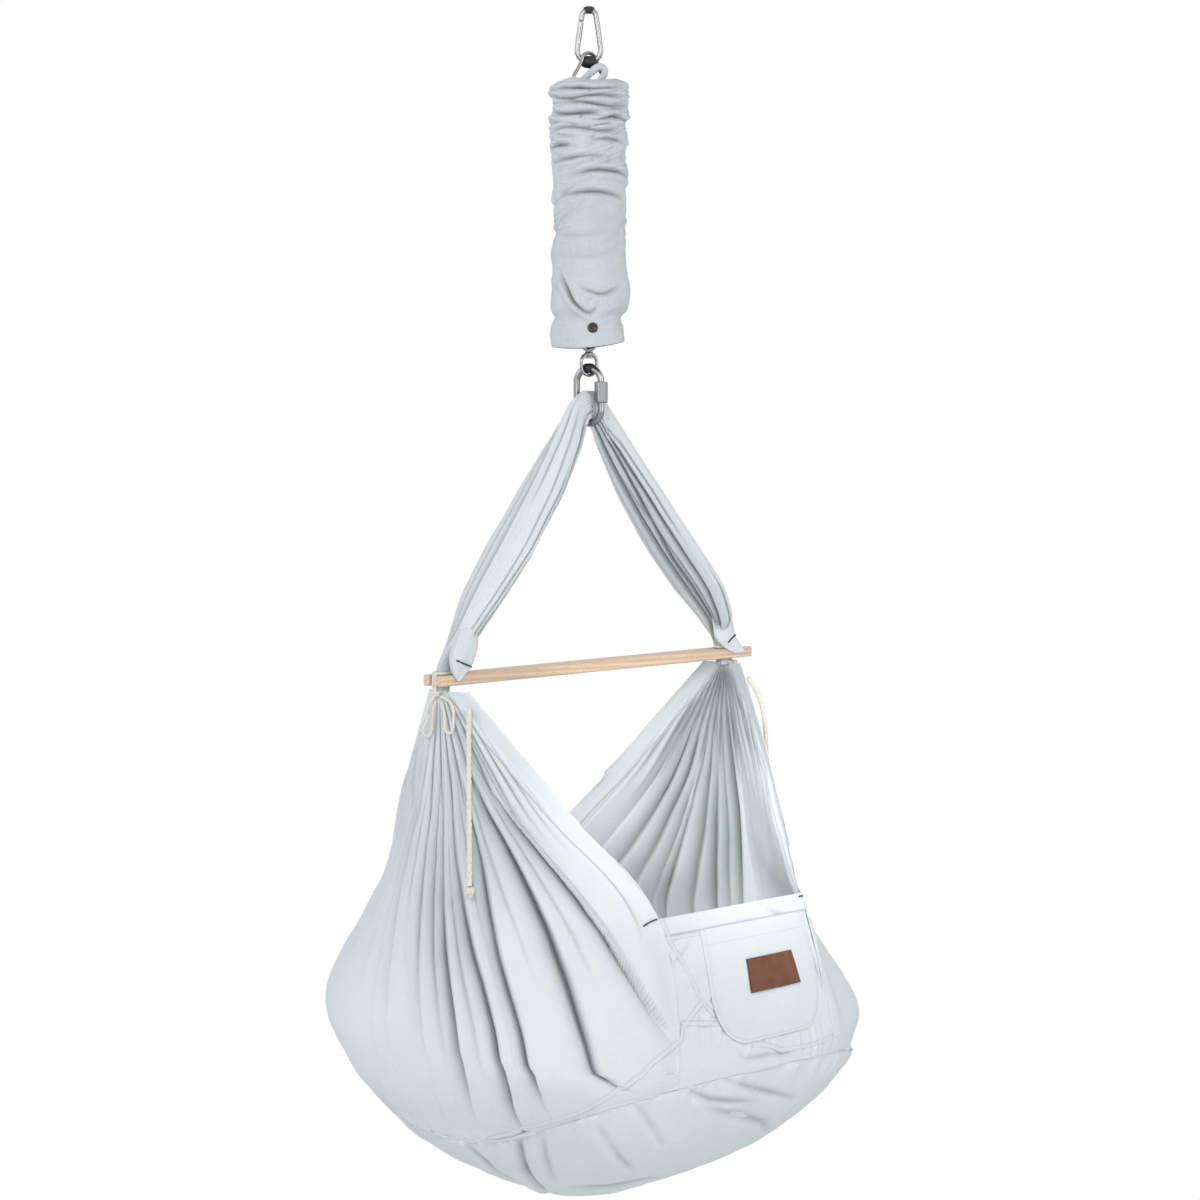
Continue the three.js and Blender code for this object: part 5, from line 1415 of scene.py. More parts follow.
# %% Strap tabs
# Each tab: (height, middle along the bar, half width, place in front) from top to point
NEAR_TAB = [(-0.795, -0.2465, 0.0185, -0.0190), (-0.812, -0.2555, 0.0220, -0.0222),
            (-0.829, -0.2620, 0.0230, -0.0226), (-0.845, -0.2655, 0.0165, -0.0208),
            (-0.8545, -0.2675, 0.0085, -0.0193), (-0.8605, -0.2685, 0.0024, -0.0187)]
FAR_TAB = [(-0.800, 0.2500, 0.0170, -0.0190), (-0.818, 0.2560, 0.0205, -0.0218),
           (-0.834, 0.2590, 0.0210, -0.0222), (-0.846, 0.2710, 0.0190, -0.0207),
           (-0.8545, 0.2840, 0.0170, -0.0196), (-0.8595, 0.2925, 0.0110, -0.0189)]
TAB_THICK = 1.9 * MM
NEAR_TACK = [(-0.2765, -0.8335), (-0.2495, -0.8430)]
FAR_TACK = [(0.2620, -0.8432), (0.2783, -0.8332)]


def band_tab(name, stations, node):
    rows, columns = 60, 40
    marks = catmull(np.array(stations), np.linspace(0, 1, rows))
    u = np.linspace(-1, 1, columns)[None]
    v = np.linspace(0, 1, rows)[:, None]
    across = marks[:, 1:2] + marks[:, 2:3] * u
    out = marks[:, 3:4] + 0.0035 * u ** 2 * (1 - v) - 0.0007 * np.sin(4 * u + 6 * v)
    grid = np.stack([across, out, np.broadcast_to(marks[:, 0:1], across.shape)], axis=-1)
    edge = smooth_step(0.8, 0.9, np.abs(u)) * (1 - smooth_step(0.97, 1.0, np.abs(u)))
    shade = np.broadcast_to(0.25 * edge, (rows, columns))
    thing = thicken(name, grid, TAB_THICK, uv=cloth_uv(rows, columns, 0.045, 0.065),
                    crease=shade)
    return dress(thing, "cradle", "cotton", cotton, node)


# %% Bar tacks
def bar_tack(name, points):
    # A close row of dark thread wound over two cores
    points = np.array(points)
    share = np.linspace(0, 1, 60)[:, None]
    path = points[0] + (points[-1] - points[0]) * share
    if len(points) == 3:
        path = path + (points[1] - (points[0] + points[2]) / 2) * (4 * share * (1 - share))
    thing = tube(name, path, 0.0009, 12,
                 swell=lambda s, t: 1 + 0.22 * np.sin(TAU * (s * 15 + t / TAU)))
    return dress(thing, "cradle", "cotton", thread_dark)


near_tab = band_tab("near_strap_tab_cloth", NEAR_TAB, "near_strap_tab")
far_tab = band_tab("far_strap_tab_cloth", FAR_TAB, "far_strap_tab")
bar_tack("near_strap_tack", [(x, -0.0238, z) for x, z in NEAR_TACK])
bar_tack("far_strap_tack", [(x, -0.0230, z) for x, z in FAR_TACK])


# %% [markdown]
# The spring hides in a cotton sleeve that is longer than the spring, so the cloth is pushed
# together into level creases, which crowd at the top and open out towards the hem. A cloth
# simulation could crumple it, but not into these creases. Here the large ones are drawn from
# the photograph as lines on the sleeve, and stretched noise fills in the small ones.

# %% Noise for cloth
def lattice_noise(u, v, period, seed):
    # Smooth noise on a lattice, closed round in u
    random = np.random.default_rng(seed)
    table = random.random((period, 400))
    i, j = np.floor(u).astype(int), np.floor(v).astype(int)
    fu, fv = u - i, v - j
    fu, fv = fu * fu * (3 - 2 * fu), fv * fv * (3 - 2 * fv)
    a, b = table[i % period, j % 400], table[(i + 1) % period, j % 400]
    c, d = table[i % period, (j + 1) % 400], table[(i + 1) % period, (j + 1) % 400]
    return (a * (1 - fu) + b * fu) * (1 - fv) + (c * (1 - fu) + d * fu) * fv


def creased(noise):
    # Rounded swells between sharp creases
    return np.abs(2 * noise - 1) ** 0.75


# %% Cover folds
COVER_TOP = -0.0866
COVER_BOTTOM = -0.435
COVER_RADIUS = 0.048
# The photograph's side of the cover: turn share nought looks at the camera, and shares grow
# towards the picture's right. Each fold: (turn share, depth below the top in mm) points,
# height in mm (a valley is negative), and its half width in mm
COVER_FOLDS = [
    ([(-0.22, 40), (-0.12, 47), (0.0, 46), (0.06, 49)], -7.5, 3.2),
    ([(0.02, 56), (0.12, 50), (0.24, 57)], -7.0, 3.2),
    ([(-0.25, 20), (-0.1, 27), (0.05, 22), (0.2, 26)], -6.0, 3.0),
    ([(-0.2, 33), (-0.05, 31), (0.1, 37), (0.25, 33)], -5.0, 2.6),
    ([(-0.24, 12), (-0.05, 14), (0.2, 10)], -5.0, 2.6),
    ([(-0.25, 92), (-0.16, 87), (-0.06, 88)], -6.0, 3.2),
    ([(0.0, 82), (0.08, 79), (0.2, 83)], -5.0, 3.0),
    ([(-0.1, 128), (0.02, 120), (0.14, 122), (0.25, 130)], -6.0, 3.4),
    ([(-0.14, 152), (0.04, 148), (0.2, 156)], -5.5, 3.6),
    ([(-0.25, 110), (-0.12, 106), (0.02, 101), (0.1, 104)], -4.0, 3.0),
    ([(-0.22, 68), (-0.08, 64), (0.05, 69), (0.16, 66)], -5.0, 3.0),
    ([(-0.15, 250), (-0.1, 276), (-0.06, 294), (0.0, 306), (0.04, 296)], -7.0, 3.0),
    ([(-0.05, 272), (0.06, 281), (0.16, 268)], -4.0, 3.0),
    ([(-0.25, 262), (-0.14, 270), (-0.08, 286)], 4.0, 6.0),
    ([(-0.12, 282), (-0.04, 303), (0.02, 313), (0.09, 300), (0.2, 286)], 4.5, 6.0),
    ([(-0.2, 200), (-0.05, 205), (0.1, 200)], -1.6, 5.0),
    ([(-0.18, 228), (0.0, 232), (0.15, 224)], -1.4, 6.0),
]
# The outline's bumps: (turn share, depth in mm, height in mm, spread in turns, spread in mm)
COVER_BUMPS = [(-0.25, 14, 5.5, 0.08, 9), (-0.25, 42, -2, 0.06, 6), (-0.25, 86, 3.0, 0.08, 14),
               (-0.25, 128, -2, 0.08, 10), (-0.25, 205, -3.5, 0.1, 16), (0.25, 30, 4, 0.08, 10),
               (0.25, 120, 2.5, 0.1, 16), (0.25, 275, 4.5, 0.1, 26), (-0.25, 250, 1.5, 0.1, 30),
               (0.25, 318, -6, 0.12, 14), (-0.25, 335, 5, 0.1, 12), (0.03, 2, 3, 0.06, 8)]


def cover_folds(t, drop):
    # Heights and shade of the drawn folds; t is the turn share, drop the metres below the top
    turn = (t - VIEW_SHARE + 0.5) % 1.0 - 0.5
    height = np.zeros(t.shape)
    shade = np.zeros(t.shape)
    flat = np.stack([turn * TAU * COVER_RADIUS, drop, np.zeros(t.shape)], axis=-1)
    for line, rise, half in COVER_FOLDS:
        points = catmull(np.array([[share * TAU * COVER_RADIUS, down * MM, 0.0]
                                   for share, down in line]), np.linspace(0, 1, 14))
        away, along, total = line_distance(flat, points)
        taper = np.sin(math.pi * np.clip(along / total, 0.03, 0.97)) ** 0.5
        form = np.exp(-(away / (half * MM)) ** 2) * taper
        height = height + rise * MM * form
        if rise < 0:
            lip = np.exp(-((away - 2.1 * half * MM) / (1.3 * half * MM)) ** 2) * taper
            height = height - rise * MM * 0.4 * lip
            shade = np.maximum(shade, form ** 2 * min(1, -rise / 6))
    for share, down, rise, wide, tall in COVER_BUMPS:
        height = height + rise * MM * np.exp(-((turn - share) / wide) ** 2
                                             - ((drop - down * MM) / (tall * MM)) ** 2)
    return height, shade


# %% Cover shape
VIEW_SHARE = (math.degrees(VIEW_TURN) - 90) / 360


def cover_grid():
    rows, around = 460, 360
    v, t = np.meshgrid(np.linspace(0, 1, rows), np.arange(around) / around, indexing="ij")
    drop = v * (COVER_TOP - COVER_BOTTOM)
    turn = t - VIEW_SHARE
    closing = np.minimum(1, v / 0.05)
    rounded = np.sqrt(closing * (2 - closing))
    cinch = 1 - 0.10 * np.exp(-((v - 0.892) / 0.02) ** 2)
    radius = 0.0352 + (COVER_RADIUS * cinch - 0.0352) * rounded
    tight = 1 - smooth_step(0.15, 0.5, v)
    slant = 0.5 * np.sin(TAU * t + 2) + 0.3 * np.sin(2 * TAU * t + 14 * v)
    dense = creased(lattice_noise(t * 6, drop / 0.0115 + slant * 2.2, 6, 3))
    dense = dense * 0.6 + 0.4 * creased(lattice_noise(t * 12, drop / 0.0064 + slant * 3, 12, 4))
    loose = creased(lattice_noise(t * 4, drop / 0.026 + slant * 2.4, 4, 8))
    loose = loose * 0.6 + 0.4 * creased(lattice_noise(t * 8, drop / 0.011 + slant * 3, 8, 9))
    calm = lattice_noise(t * 5, drop / 0.035 + slant, 5, 15) - 0.5
    fine = creased(lattice_noise(t * 11, drop / 0.014 + slant * 3, 11, 41)) - 0.5
    fold = 0.0105 * (dense - 0.4) * tight + 0.0105 * (loose - 0.45) * (1 - tight) * (
        1 - smooth_step(0.5, 0.66, v)) + 0.0055 * calm + 0.0016 * fine * smooth_step(0.3, 0.5, v)
    shade = np.maximum(0, 0.6 - 2.6 * dense) * tight
    near_cinch = np.exp(-((v - 0.892) / 0.045) ** 2)
    upright = creased(lattice_noise(t * 30, drop / 0.05, 30, 21)) - 0.5
    fold = fold + 0.0020 * upright * near_cinch
    drawn, drawn_shade = cover_folds(t, drop)
    fold = (fold + drawn) * smooth_step(0, 0.02, v)
    skirt = smooth_step(0.91, 1.0, v)
    wave = np.cos(TAU * (turn * 2 - 0.14)) * 0.5 + 0.35 * np.cos(TAU * (turn * 5 + 0.3))
    radius = radius + fold + 0.0035 * skirt * wave
    # Both rims are uneven: scrunched at the top, hanging lower on the picture's left below
    ragged = lattice_noise(t * 14, v * 0, 14, 31) - 0.5
    z = COVER_TOP - drop + 0.004 * skirt * np.sin(TAU * (turn + 0.02))
    z = z + 0.006 * ragged * (1 - smooth_step(0, 0.09, v)) - 0.0025 * skirt * np.cos(
        TAU * 2 * turn)
    angle = t * TAU
    grid = np.stack([radius * np.cos(angle), radius * np.sin(angle), z], axis=-1)
    return grid, v, t, np.clip(np.maximum(shade, drawn_shade), 0, 1)


def spring_cover():
    grid, v, t, shade = cover_grid()
    uv = np.stack([t * 0.36, v * 0.5], axis=-1)
    thing = thicken("spring_cover_cloth", grid, 1.3 * MM, wrap=True, uv=uv, crease=shade)
    dress(thing, None, "cotton", cotton_worn)
    return thing, grid


cover, cover_points = spring_cover()
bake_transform(cover)
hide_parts("spring_cover")


# %% [markdown]
# Inside the cover hang the tension spring that rocks the cradle, and a slack rope through its
# middle that would catch the load if the spring broke. Neither shows. They are built all the
# same, because a reader may take the cover off. A coil could be one turn under an array
# modifier, but a helix from one formula has no joints to close.

# %% Spring and safety rope
def helix(radius, turns, top, bottom, per_turn):
    share = np.linspace(0, 1, turns * per_turn + 1)
    turn = share * turns * TAU
    return np.stack([radius * np.cos(turn), radius * np.sin(turn),
                     top + (bottom - top) * share], axis=1)


SPRING_TOP = -0.097
SPRING_BOTTOM = -0.381
SPRING_RADIUS = 0.028
SPRING_TURNS = 30
SPRING_WIRE = 0.0025
spring_line = helix(SPRING_RADIUS, SPRING_TURNS, SPRING_TOP - SPRING_WIRE,
                    SPRING_BOTTOM + SPRING_WIRE, 26)
coil = tube("tension_spring_coil", spring_line, SPRING_WIRE, 10)
dress(coil, None, "spring_steel", spring_steel)
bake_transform(coil)
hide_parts("tension_spring")


# %% Safety rope
ROPE_TOP = -0.093
ROPE_BOTTOM = -0.385


def rope_path():
    share = np.linspace(0, 1, 240)
    ends = np.minimum(1, 5 * np.minimum(share, 1 - share))
    swell = 0.009 * ends * ends
    turn = TAU * 5 * share
    return np.stack([swell * np.sin(turn), swell * np.cos(turn),
                     ROPE_TOP + share * (ROPE_BOTTOM - ROPE_TOP)], axis=1)


rope = tube("safety_rope_braided", rope_path(), 0.003, 14,
            swell=lambda s, t: braid(s, t, 4, 150))
dress(rope, None, "cord", cord_white)
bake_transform(rope)
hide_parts("safety_rope")


# %% [markdown]
# The snap hook, the spring's loop, the swivel and the quick link are bent from round steel
# wire, with black rubber bushes where two of them meet. Blender's curves could be bevelled
# for this. A tube along the same centre line as the CAD wire is as smooth, and its radius can
# swell, so that ends are rounded and the gate has its ribs.

# %% Bent wire
def turned(points, turn):
    points = np.asarray(points, dtype=float)
    c, s = math.cos(turn), math.sin(turn)
    return np.stack([points[..., 0] * c - points[..., 1] * s,
                     points[..., 0] * s + points[..., 1] * c, points[..., 2]], axis=-1)


def arc(radius, centre_z, start, end, count):
    turn = np.linspace(start, end, count)
    return np.stack([radius * np.cos(turn), np.zeros(count), centre_z + radius * np.sin(turn)],
                    axis=1)


def spaced(path, gap):
    reach = walked(path)
    return placed(path, reach, np.linspace(0, reach[-1], int(reach[-1] / gap) + 2))


def round_ends(radius, length):
    # The tube's ends are rounded over a share of its length
    def swell(share, turn):
        edge = np.minimum(share, 1 - share) * length / radius
        near = np.clip(edge, 0, 0.5) / 0.5
        return 0.75 + 0.25 * np.sqrt(near * (2 - near)) + 0 * turn
    return swell


# %% Hook and gate
HOOK_TURN = math.radians(-48)
EYE_TURN = math.radians(-18)
HOOK_TOP = -0.0045
HOOK_LOW = -0.0475
HOOK_TOP_BEND = 0.0095
HOOK_LOW_BEND = 0.0155
HOOK_WIRE = 0.0035
GATE_RADIUS = 0.0037
SLEEVE_RADIUS = 0.005
BUSH_RADIUS = 0.0083
BUSH_LENGTH = 0.021
HOOK_LEAN = math.asin((HOOK_LOW_BEND - HOOK_TOP_BEND) / (HOOK_TOP - HOOK_LOW))


def hook_leg(side, z):
    top_x = HOOK_TOP_BEND * math.cos(HOOK_LEAN)
    top_z = HOOK_TOP + HOOK_TOP_BEND * math.sin(HOOK_LEAN)
    return np.array([[side * (top_x + (top_z - z) * math.tan(HOOK_LEAN)), 0, z]])


hook_path = np.concatenate([
    hook_leg(-1, -0.0096), arc(HOOK_TOP_BEND, HOOK_TOP, math.pi - HOOK_LEAN, HOOK_LEAN, 40),
    arc(HOOK_LOW_BEND, HOOK_LOW, HOOK_LEAN, -math.pi - HOOK_LEAN, 60), hook_leg(-1, -0.0330)])
hook_path = spaced(hook_path, 0.0008)
hook_wire = tube("carabiner_body_wire", turned(hook_path, HOOK_TURN), HOOK_WIRE, 28,
                 swell=round_ends(HOOK_WIRE, 0.16))
dress(hook_wire, "hook", "steel", steel, "carabiner_body")

gate_path = spaced(np.concatenate([hook_leg(-1, -0.0368), hook_leg(-1, -0.0104)]), 0.0004)


def gate_swell(share, turn):
    edge = np.clip(np.minimum(share, 1 - share) / 0.04, 0, 1)
    ribs = 0.03 * np.cos(TAU * share * 26) * smooth_step(0.3, 0.34, share) * (
        1 - smooth_step(0.66, 0.7, share))
    return 0.8 + 0.2 * np.sqrt(edge * (2 - edge)) + ribs + 0 * turn


gate_bar = tube("carabiner_gate_bar", turned(gate_path, HOOK_TURN), GATE_RADIUS, 28,
                swell=gate_swell)
dress(gate_bar, "gate", "steel", steel, "carabiner_gate")


# %% Sleeve and bush
sleeve_path = arc(HOOK_TOP_BEND, HOOK_TOP, math.radians(90 - 33), math.radians(90 + 33), 24)
sleeve = tube("top_sleeve_rubber", turned(sleeve_path, HOOK_TURN), SLEEVE_RADIUS, 28,
              swell=lambda s, t: 0.9 + 0.1 * np.sqrt(np.clip(np.minimum(s, 1 - s) / 0.1, 0, 1))
              + 0 * t)
dress(sleeve, "hook", "rubber", rubber, "top_sleeve")
half_arc = BUSH_LENGTH / HOOK_LOW_BEND / 2
bush_path = arc(HOOK_LOW_BEND, HOOK_LOW, -math.pi / 2 - half_arc, -math.pi / 2 + half_arc, 40)
bush = tube("carabiner_bush_rubber", turned(bush_path, HOOK_TURN), BUSH_RADIUS, 32,
            swell=lambda s, t: 0.6 + 0.4 * np.sqrt(np.sin(math.pi * np.clip(s, 0.02, 0.98)))
            + 0 * t)
dress(bush, "bush", "rubber", rubber, "carabiner_bush")


# %% Spring loop
# The loop narrows from its feet in the upper plug to its shoulders, and its top lies in the bush
LOOP_HALF = 0.0147
LOOP_FOOT = 0.03
LOOP_SHOULDER = -0.063
LOOP_WIRE = 0.0024
loop_apex = LOOP_SHOULDER + 0.0085 + 0.0009 + 0.0025
loop_side = np.array([[LOOP_HALF * 0.72, 0, loop_apex - 0.0025 * 1.35],
                      [LOOP_HALF, 0, LOOP_SHOULDER],
                      [(LOOP_HALF + LOOP_FOOT) / 2, 0, LOOP_SHOULDER - 0.0105],
                      [LOOP_FOOT, 0, -0.0837], [LOOP_FOOT, 0, -0.0934]])
loop_points = np.concatenate([loop_side[::-1] * [-1, 1, 1], [[0, 0, loop_apex]], loop_side])
loop_path, _ = resample([tuple(p) for p in loop_points], 150)
loop_wire = tube("spring_loop_wire", loop_path, LOOP_WIRE, 20)
dress(loop_wire, "hanger", "steel", steel, "spring_loop")


# %% Swivel
def disc(centre_z, radius, height, edge, sides=32):
    # A turned steel disc about the axis with eased edges
    profile = [(0.0, -height / 2), (radius - edge, -height / 2), (radius, -height / 2 + edge),
               (radius, height / 2 - edge), (radius - edge, height / 2), (0.0, height / 2)]
    points = []
    for reach, z in profile:
        for j in range(sides):
            turn = TAU * j / sides
            points.append([reach * math.cos(turn), reach * math.sin(turn), centre_z + z])
    return np.array(points), grid_faces(len(profile), sides, True)


EYE_WIDTH = 0.028
EYE_HEIGHT = 0.033
EYE_WIRE = 0.0045
BOSS_RADIUS = 0.0052
BOSS_HEIGHT = 0.0056
BOSS_EDGE = 0.0007


def eye(name, centre_z, boss_z, node, body):
    bend = (EYE_WIDTH - EYE_WIRE) / 2
    straight = (EYE_HEIGHT - EYE_WIRE) / 2 - bend
    path = np.concatenate([arc(bend, centre_z + straight, 0, math.pi, 40),
                           arc(bend, centre_z - straight, math.pi, TAU, 40)])
    ring = tube(name, turned(path, EYE_TURN), EYE_WIRE / 2, 20, closed=True)
    boss = mesh_object(name + "_boss", *disc(boss_z, BOSS_RADIUS, BOSS_HEIGHT, BOSS_EDGE))
    return dress(join([ring, boss]), body, "steel", steel, node)


EYE_TOP = -0.40977
EYE_MIDDLE = -0.44277
EYE_LOW_TOP = -0.44307
eye("swivel_upper_eye_ring", EYE_TOP - 0.0165, EYE_MIDDLE + 0.0028, "swivel_upper_eye",
    "swivel_top")
eye("swivel_lower_eye_ring", EYE_LOW_TOP - 0.0165, EYE_LOW_TOP - 0.0028, "swivel_lower_eye",
    "swivel_bottom")


# %% Quick link
LINK_TOP_BOW = -0.48247
LINK_LOW_BOW = -0.51947
link_path = np.concatenate([
    [[LINK_BEND, 0, -0.4842]], arc(LINK_BEND, LINK_TOP_BOW, 0, math.pi, 60),
    arc(LINK_BEND, LINK_LOW_BOW, math.pi, TAU, 60), [[LINK_BEND, 0, -0.4902]]])
link_wire = tube("quick_link_wire", turned(spaced(link_path, 0.001), LINK_TURN),
                 LINK_WIRE / 2, 32)
dress(link_wire, "link", "steel", steel, "quick_link")
LINK_BUSH_LENGTH = 0.012
LINK_BUSH_RADIUS = 0.0065
link_half = LINK_BUSH_LENGTH / LINK_BEND / 2
link_bush_path = arc(LINK_BEND, LINK_TOP_BOW, math.pi / 2 - link_half, math.pi / 2 + link_half, 30)
link_bush = tube("link_bush_rubber", turned(link_bush_path, LINK_TURN), LINK_BUSH_RADIUS, 28,
                 swell=lambda s, t: 0.86 + 0.14 * np.sqrt(np.clip(
                     np.minimum(s, 1 - s) / 0.15, 0, 1)) + 0 * t)
dress(link_bush, "link", "rubber", rubber, "link_bush")


# %% Nuts
def hex_nut(name, centre, across_flats, height, bore, chamfer):
    # Six flats with rounded chamfers at both ends and a bore
    sides = 96
    turn = np.arange(sides) * TAU / sides
    flat = across_flats / 2 / np.cos((turn + math.pi / 6) % (math.pi / 3) - math.pi / 6)
    rings = []
    for share in np.linspace(0, 1, 30):
        z = -height / 2 + height * share
        edge = min(share, 1 - share) * height
        cone = across_flats / 2 * 0.95 + (across_flats / 2 * 0.2) * min(1, edge / chamfer) ** 0.5
        reach = np.minimum(flat, cone)
        rings.append(np.stack([reach * np.cos(turn), reach * np.sin(turn), np.full(sides, z)], 1))
    hole = [np.stack([bore * np.cos(turn), bore * np.sin(turn), np.full(sides, z)], 1)
            for z in (height / 2, -height / 2)]
    rings = np.array(rings + hole)
    count = len(rings)
    faces = grid_faces(count, sides, True)
    last = (count - 1) * sides
    faces += [[last + j, last + (j + 1) % sides, (j + 1) % sides, j] for j in range(sides)]
    points = turned(rings.reshape(-1, 3) + np.array(centre), LINK_TURN)
    return mesh_object(name, points, faces)


LINK_NUT_MIDDLE = -0.48217 - 0.014
nut = hex_nut("quick_link_nut_hex", (LINK_BEND, 0, LINK_NUT_MIDDLE), across_flats=0.0154,
              height=0.028, bore=0.0048, chamfer=0.002)
dress(nut, "link_nut", "steel", steel, "quick_link_nut")

# The swivel's own nut turns with the upper eye, inside the bow of the lower one
swivel_nut = hex_nut("swivel_nut_hex", (0, 0, -0.45047), across_flats=0.0084, height=0.0026,
                     bore=0.0023, chamfer=0.0005)
dress(swivel_nut, "swivel_top", "steel", steel, "swivel_nut")


# %% [markdown]
# The pocket is a patch with rounded lower corners, sewn on along a U of stitches, and a bare
# leather label lies on it. Both could be modelled flat and then shrunk onto the cloth. Here
# their points are taken on the front panel itself and lifted off it, so that every swell of
# the panel shows through, and the pocket gets a little slack of its own.

# %% Pocket
def front_patch(u, v):
    # Places and outward normals on the front panel for rows of (u, v)
    place = np.array([side_points(True, row_u, np.array([row_v]))[0] for row_u, row_v in
                      zip(u, v[:, 0])])
    normal = grid_normals(place)
    if normal[..., 1].mean() > 0:
        normal = -normal
    return place, normal


POCKET_MIDDLE = 0.6
POCKET_HALF = 0.36
POCKET_TOP = 0.04
POCKET_DEPTH = 0.235
LABEL_ACROSS = 0.63
LABEL_MIDDLE = 0.14
LABEL_HALF = 0.14
LABEL_HEIGHT = 0.062


def pocket_grid(columns, rows):
    v = np.repeat(np.linspace(0, 1, rows)[:, None], columns, axis=1)
    rounded = np.sqrt(np.maximum(0.04, 1 - (v * 0.93) ** 3))
    u = POCKET_MIDDLE + POCKET_HALF * rounded * np.linspace(-1, 1, columns)[None]
    return front_patch(u, POCKET_TOP + POCKET_DEPTH * v)


def on_front_ripples(place):
    return ripples(place, 22, 0.12, 0.003)[..., None]


pocket_place, pocket_out = pocket_grid(140, 120)
slack = np.sin(math.pi * np.linspace(0, 1, 140))[None] ** 0.7 * (
    np.linspace(1, 0.1, 120)[:, None])
POCKET_LIFT = 0.0021
POCKET_SLACK = 0.0024


def pocket_height(slack, place):
    return (on_front_ripples(place) + POCKET_LIFT + POCKET_SLACK * slack[..., None]
            + ripples(place, 55, 0.05, 0.0012)[..., None])


pocket_sheet = pocket_place + pocket_out * pocket_height(slack, pocket_place)
pocket = thicken("pocket_cloth", pocket_sheet, CLOTH, uv=cloth_uv(120, 140, 0.21, 0.1))
dress(pocket, "cradle", "cotton", cotton, "pocket")


# %% Label
label_columns, label_rows = 60, 44
lu, lv = np.meshgrid(np.linspace(-1, 1, label_columns), np.linspace(-0.5, 0.5, label_rows))
label_place, label_out = front_patch(LABEL_ACROSS + LABEL_HALF * lu,
                                     LABEL_MIDDLE + LABEL_HEIGHT * lv)
label_slack = np.full(lu.shape, 0.75)
label_sheet = label_place + label_out * (pocket_height(label_slack, label_place) + 0.0022)
label_edge = np.maximum(np.abs(lu), np.abs(lv * 2)) > 0.97
label = thicken("leather_label_hide", label_sheet, 1.5 * MM, edge=label_edge)
dress(label, "cradle", "leather", leather, "leather_label")


# %% [markdown]
# A thin pad lies in the bowl. It could be a cushion that is dropped in and left to settle.
# Here its underside follows the base panel at a small distance, so it can never cut through.

# %% Mattress
def mattress_pad():
    columns = 220
    angle = np.arange(columns) * TAU / columns
    rows = []
    # Rings as (share of the bowl, height over the base panel), from below over the side to top
    underside = [(share, 0.0048) for share in np.linspace(0.02, 0.80, 34)]
    side = [(0.83, 0.007), (0.848, 0.012), (0.855, 0.019), (0.85, 0.026), (0.835, 0.032)]
    top = [(share, 0.034 * (1 + 0.12 * (1 - share * share))) for share in
           np.linspace(0.81, 0.02, 34)]
    for share, lift in underside + side + top:
        ring = bowl(angle, seam_share(angle) * share * 0.998)
        shrink = 1 - lift * 0.8 / BELLY_LENGTH
        ring = ring * np.array([shrink, shrink, 1]) + np.array([0, 0, lift])
        rows.append(ring)
    grid = np.array(rows)
    thing = mesh_object("mattress_pad", *capped(grid, grid[0].mean(axis=0),
                                                grid[-1].mean(axis=0)))
    dress(thing, "cradle", "cotton", cotton_plain, "mattress")


mattress_pad()


# %% [markdown]
# On the real cradle the seams are felled: the cloth is folded over and sewn down twice, so a
# seam stands a little over the cloth between two rows of stitches. Stitches could be painted,
# but small real threads catch the light as the photograph shows it. Each seam is a strip that
# is laid along its line, and dark tacks hold the corners of the rim.

# %% Lines on the cloth
def on_grid(grid, out, down, across):
    # Places and normals at shares down and across a grid of points
    rows, columns = grid.shape[:2]
    y = np.clip(np.asarray(down, dtype=float), 0, 1) * (rows - 1)
    x = np.clip(np.asarray(across, dtype=float), 0, 1) * (columns - 1)
    i, j = np.minimum(y.astype(int), rows - 2), np.minimum(x.astype(int), columns - 2)
    fy, fx = (y - i)[:, None], (x - j)[:, None]
    result = []
    for values in (grid, out):
        upper = values[i, j] * (1 - fx) + values[i, j + 1] * fx
        lower = values[i + 1, j] * (1 - fx) + values[i + 1, j + 1] * fx
        result.append(upper * (1 - fy) + lower * fy)
    return result


def line_on(grid, out, points, count=160, power=1.0):
    # A smooth line through (down, across) points of a grid
    marks = catmull(np.array([[v, u, 0.0] for v, u in points]), np.linspace(0, 1, count))
    return on_grid(grid, out, np.maximum(marks[:, 0], 0) ** (1 / power), marks[:, 1])


def beside(places, normals, offset):
    # The same line moved sideways over the cloth
    tangent = np.gradient(places, axis=0)
    across = np.cross(tangent, normals)
    across /= np.maximum(np.linalg.norm(across, axis=1, keepdims=True), 1e-9)
    return places + across * offset


def seam_strip(name, places, normals, width=0.0075, lift=0.0006):
    offsets = np.linspace(-1, 1, 9)
    across = beside(places, normals, 1.0) - places
    crown = (1 - offsets ** 4)[None, :, None]
    grid = (places[:, None] + across[:, None] * (offsets * width / 2)[None, :, None]
            + normals[:, None] * (lift + 0.0007 * crown))
    uv = cloth_uv(len(places), 9, width, 1.0)
    thing = thicken(name, grid, 1.0 * MM, uv=uv)
    return dress(thing, "cradle", "cotton", cotton)


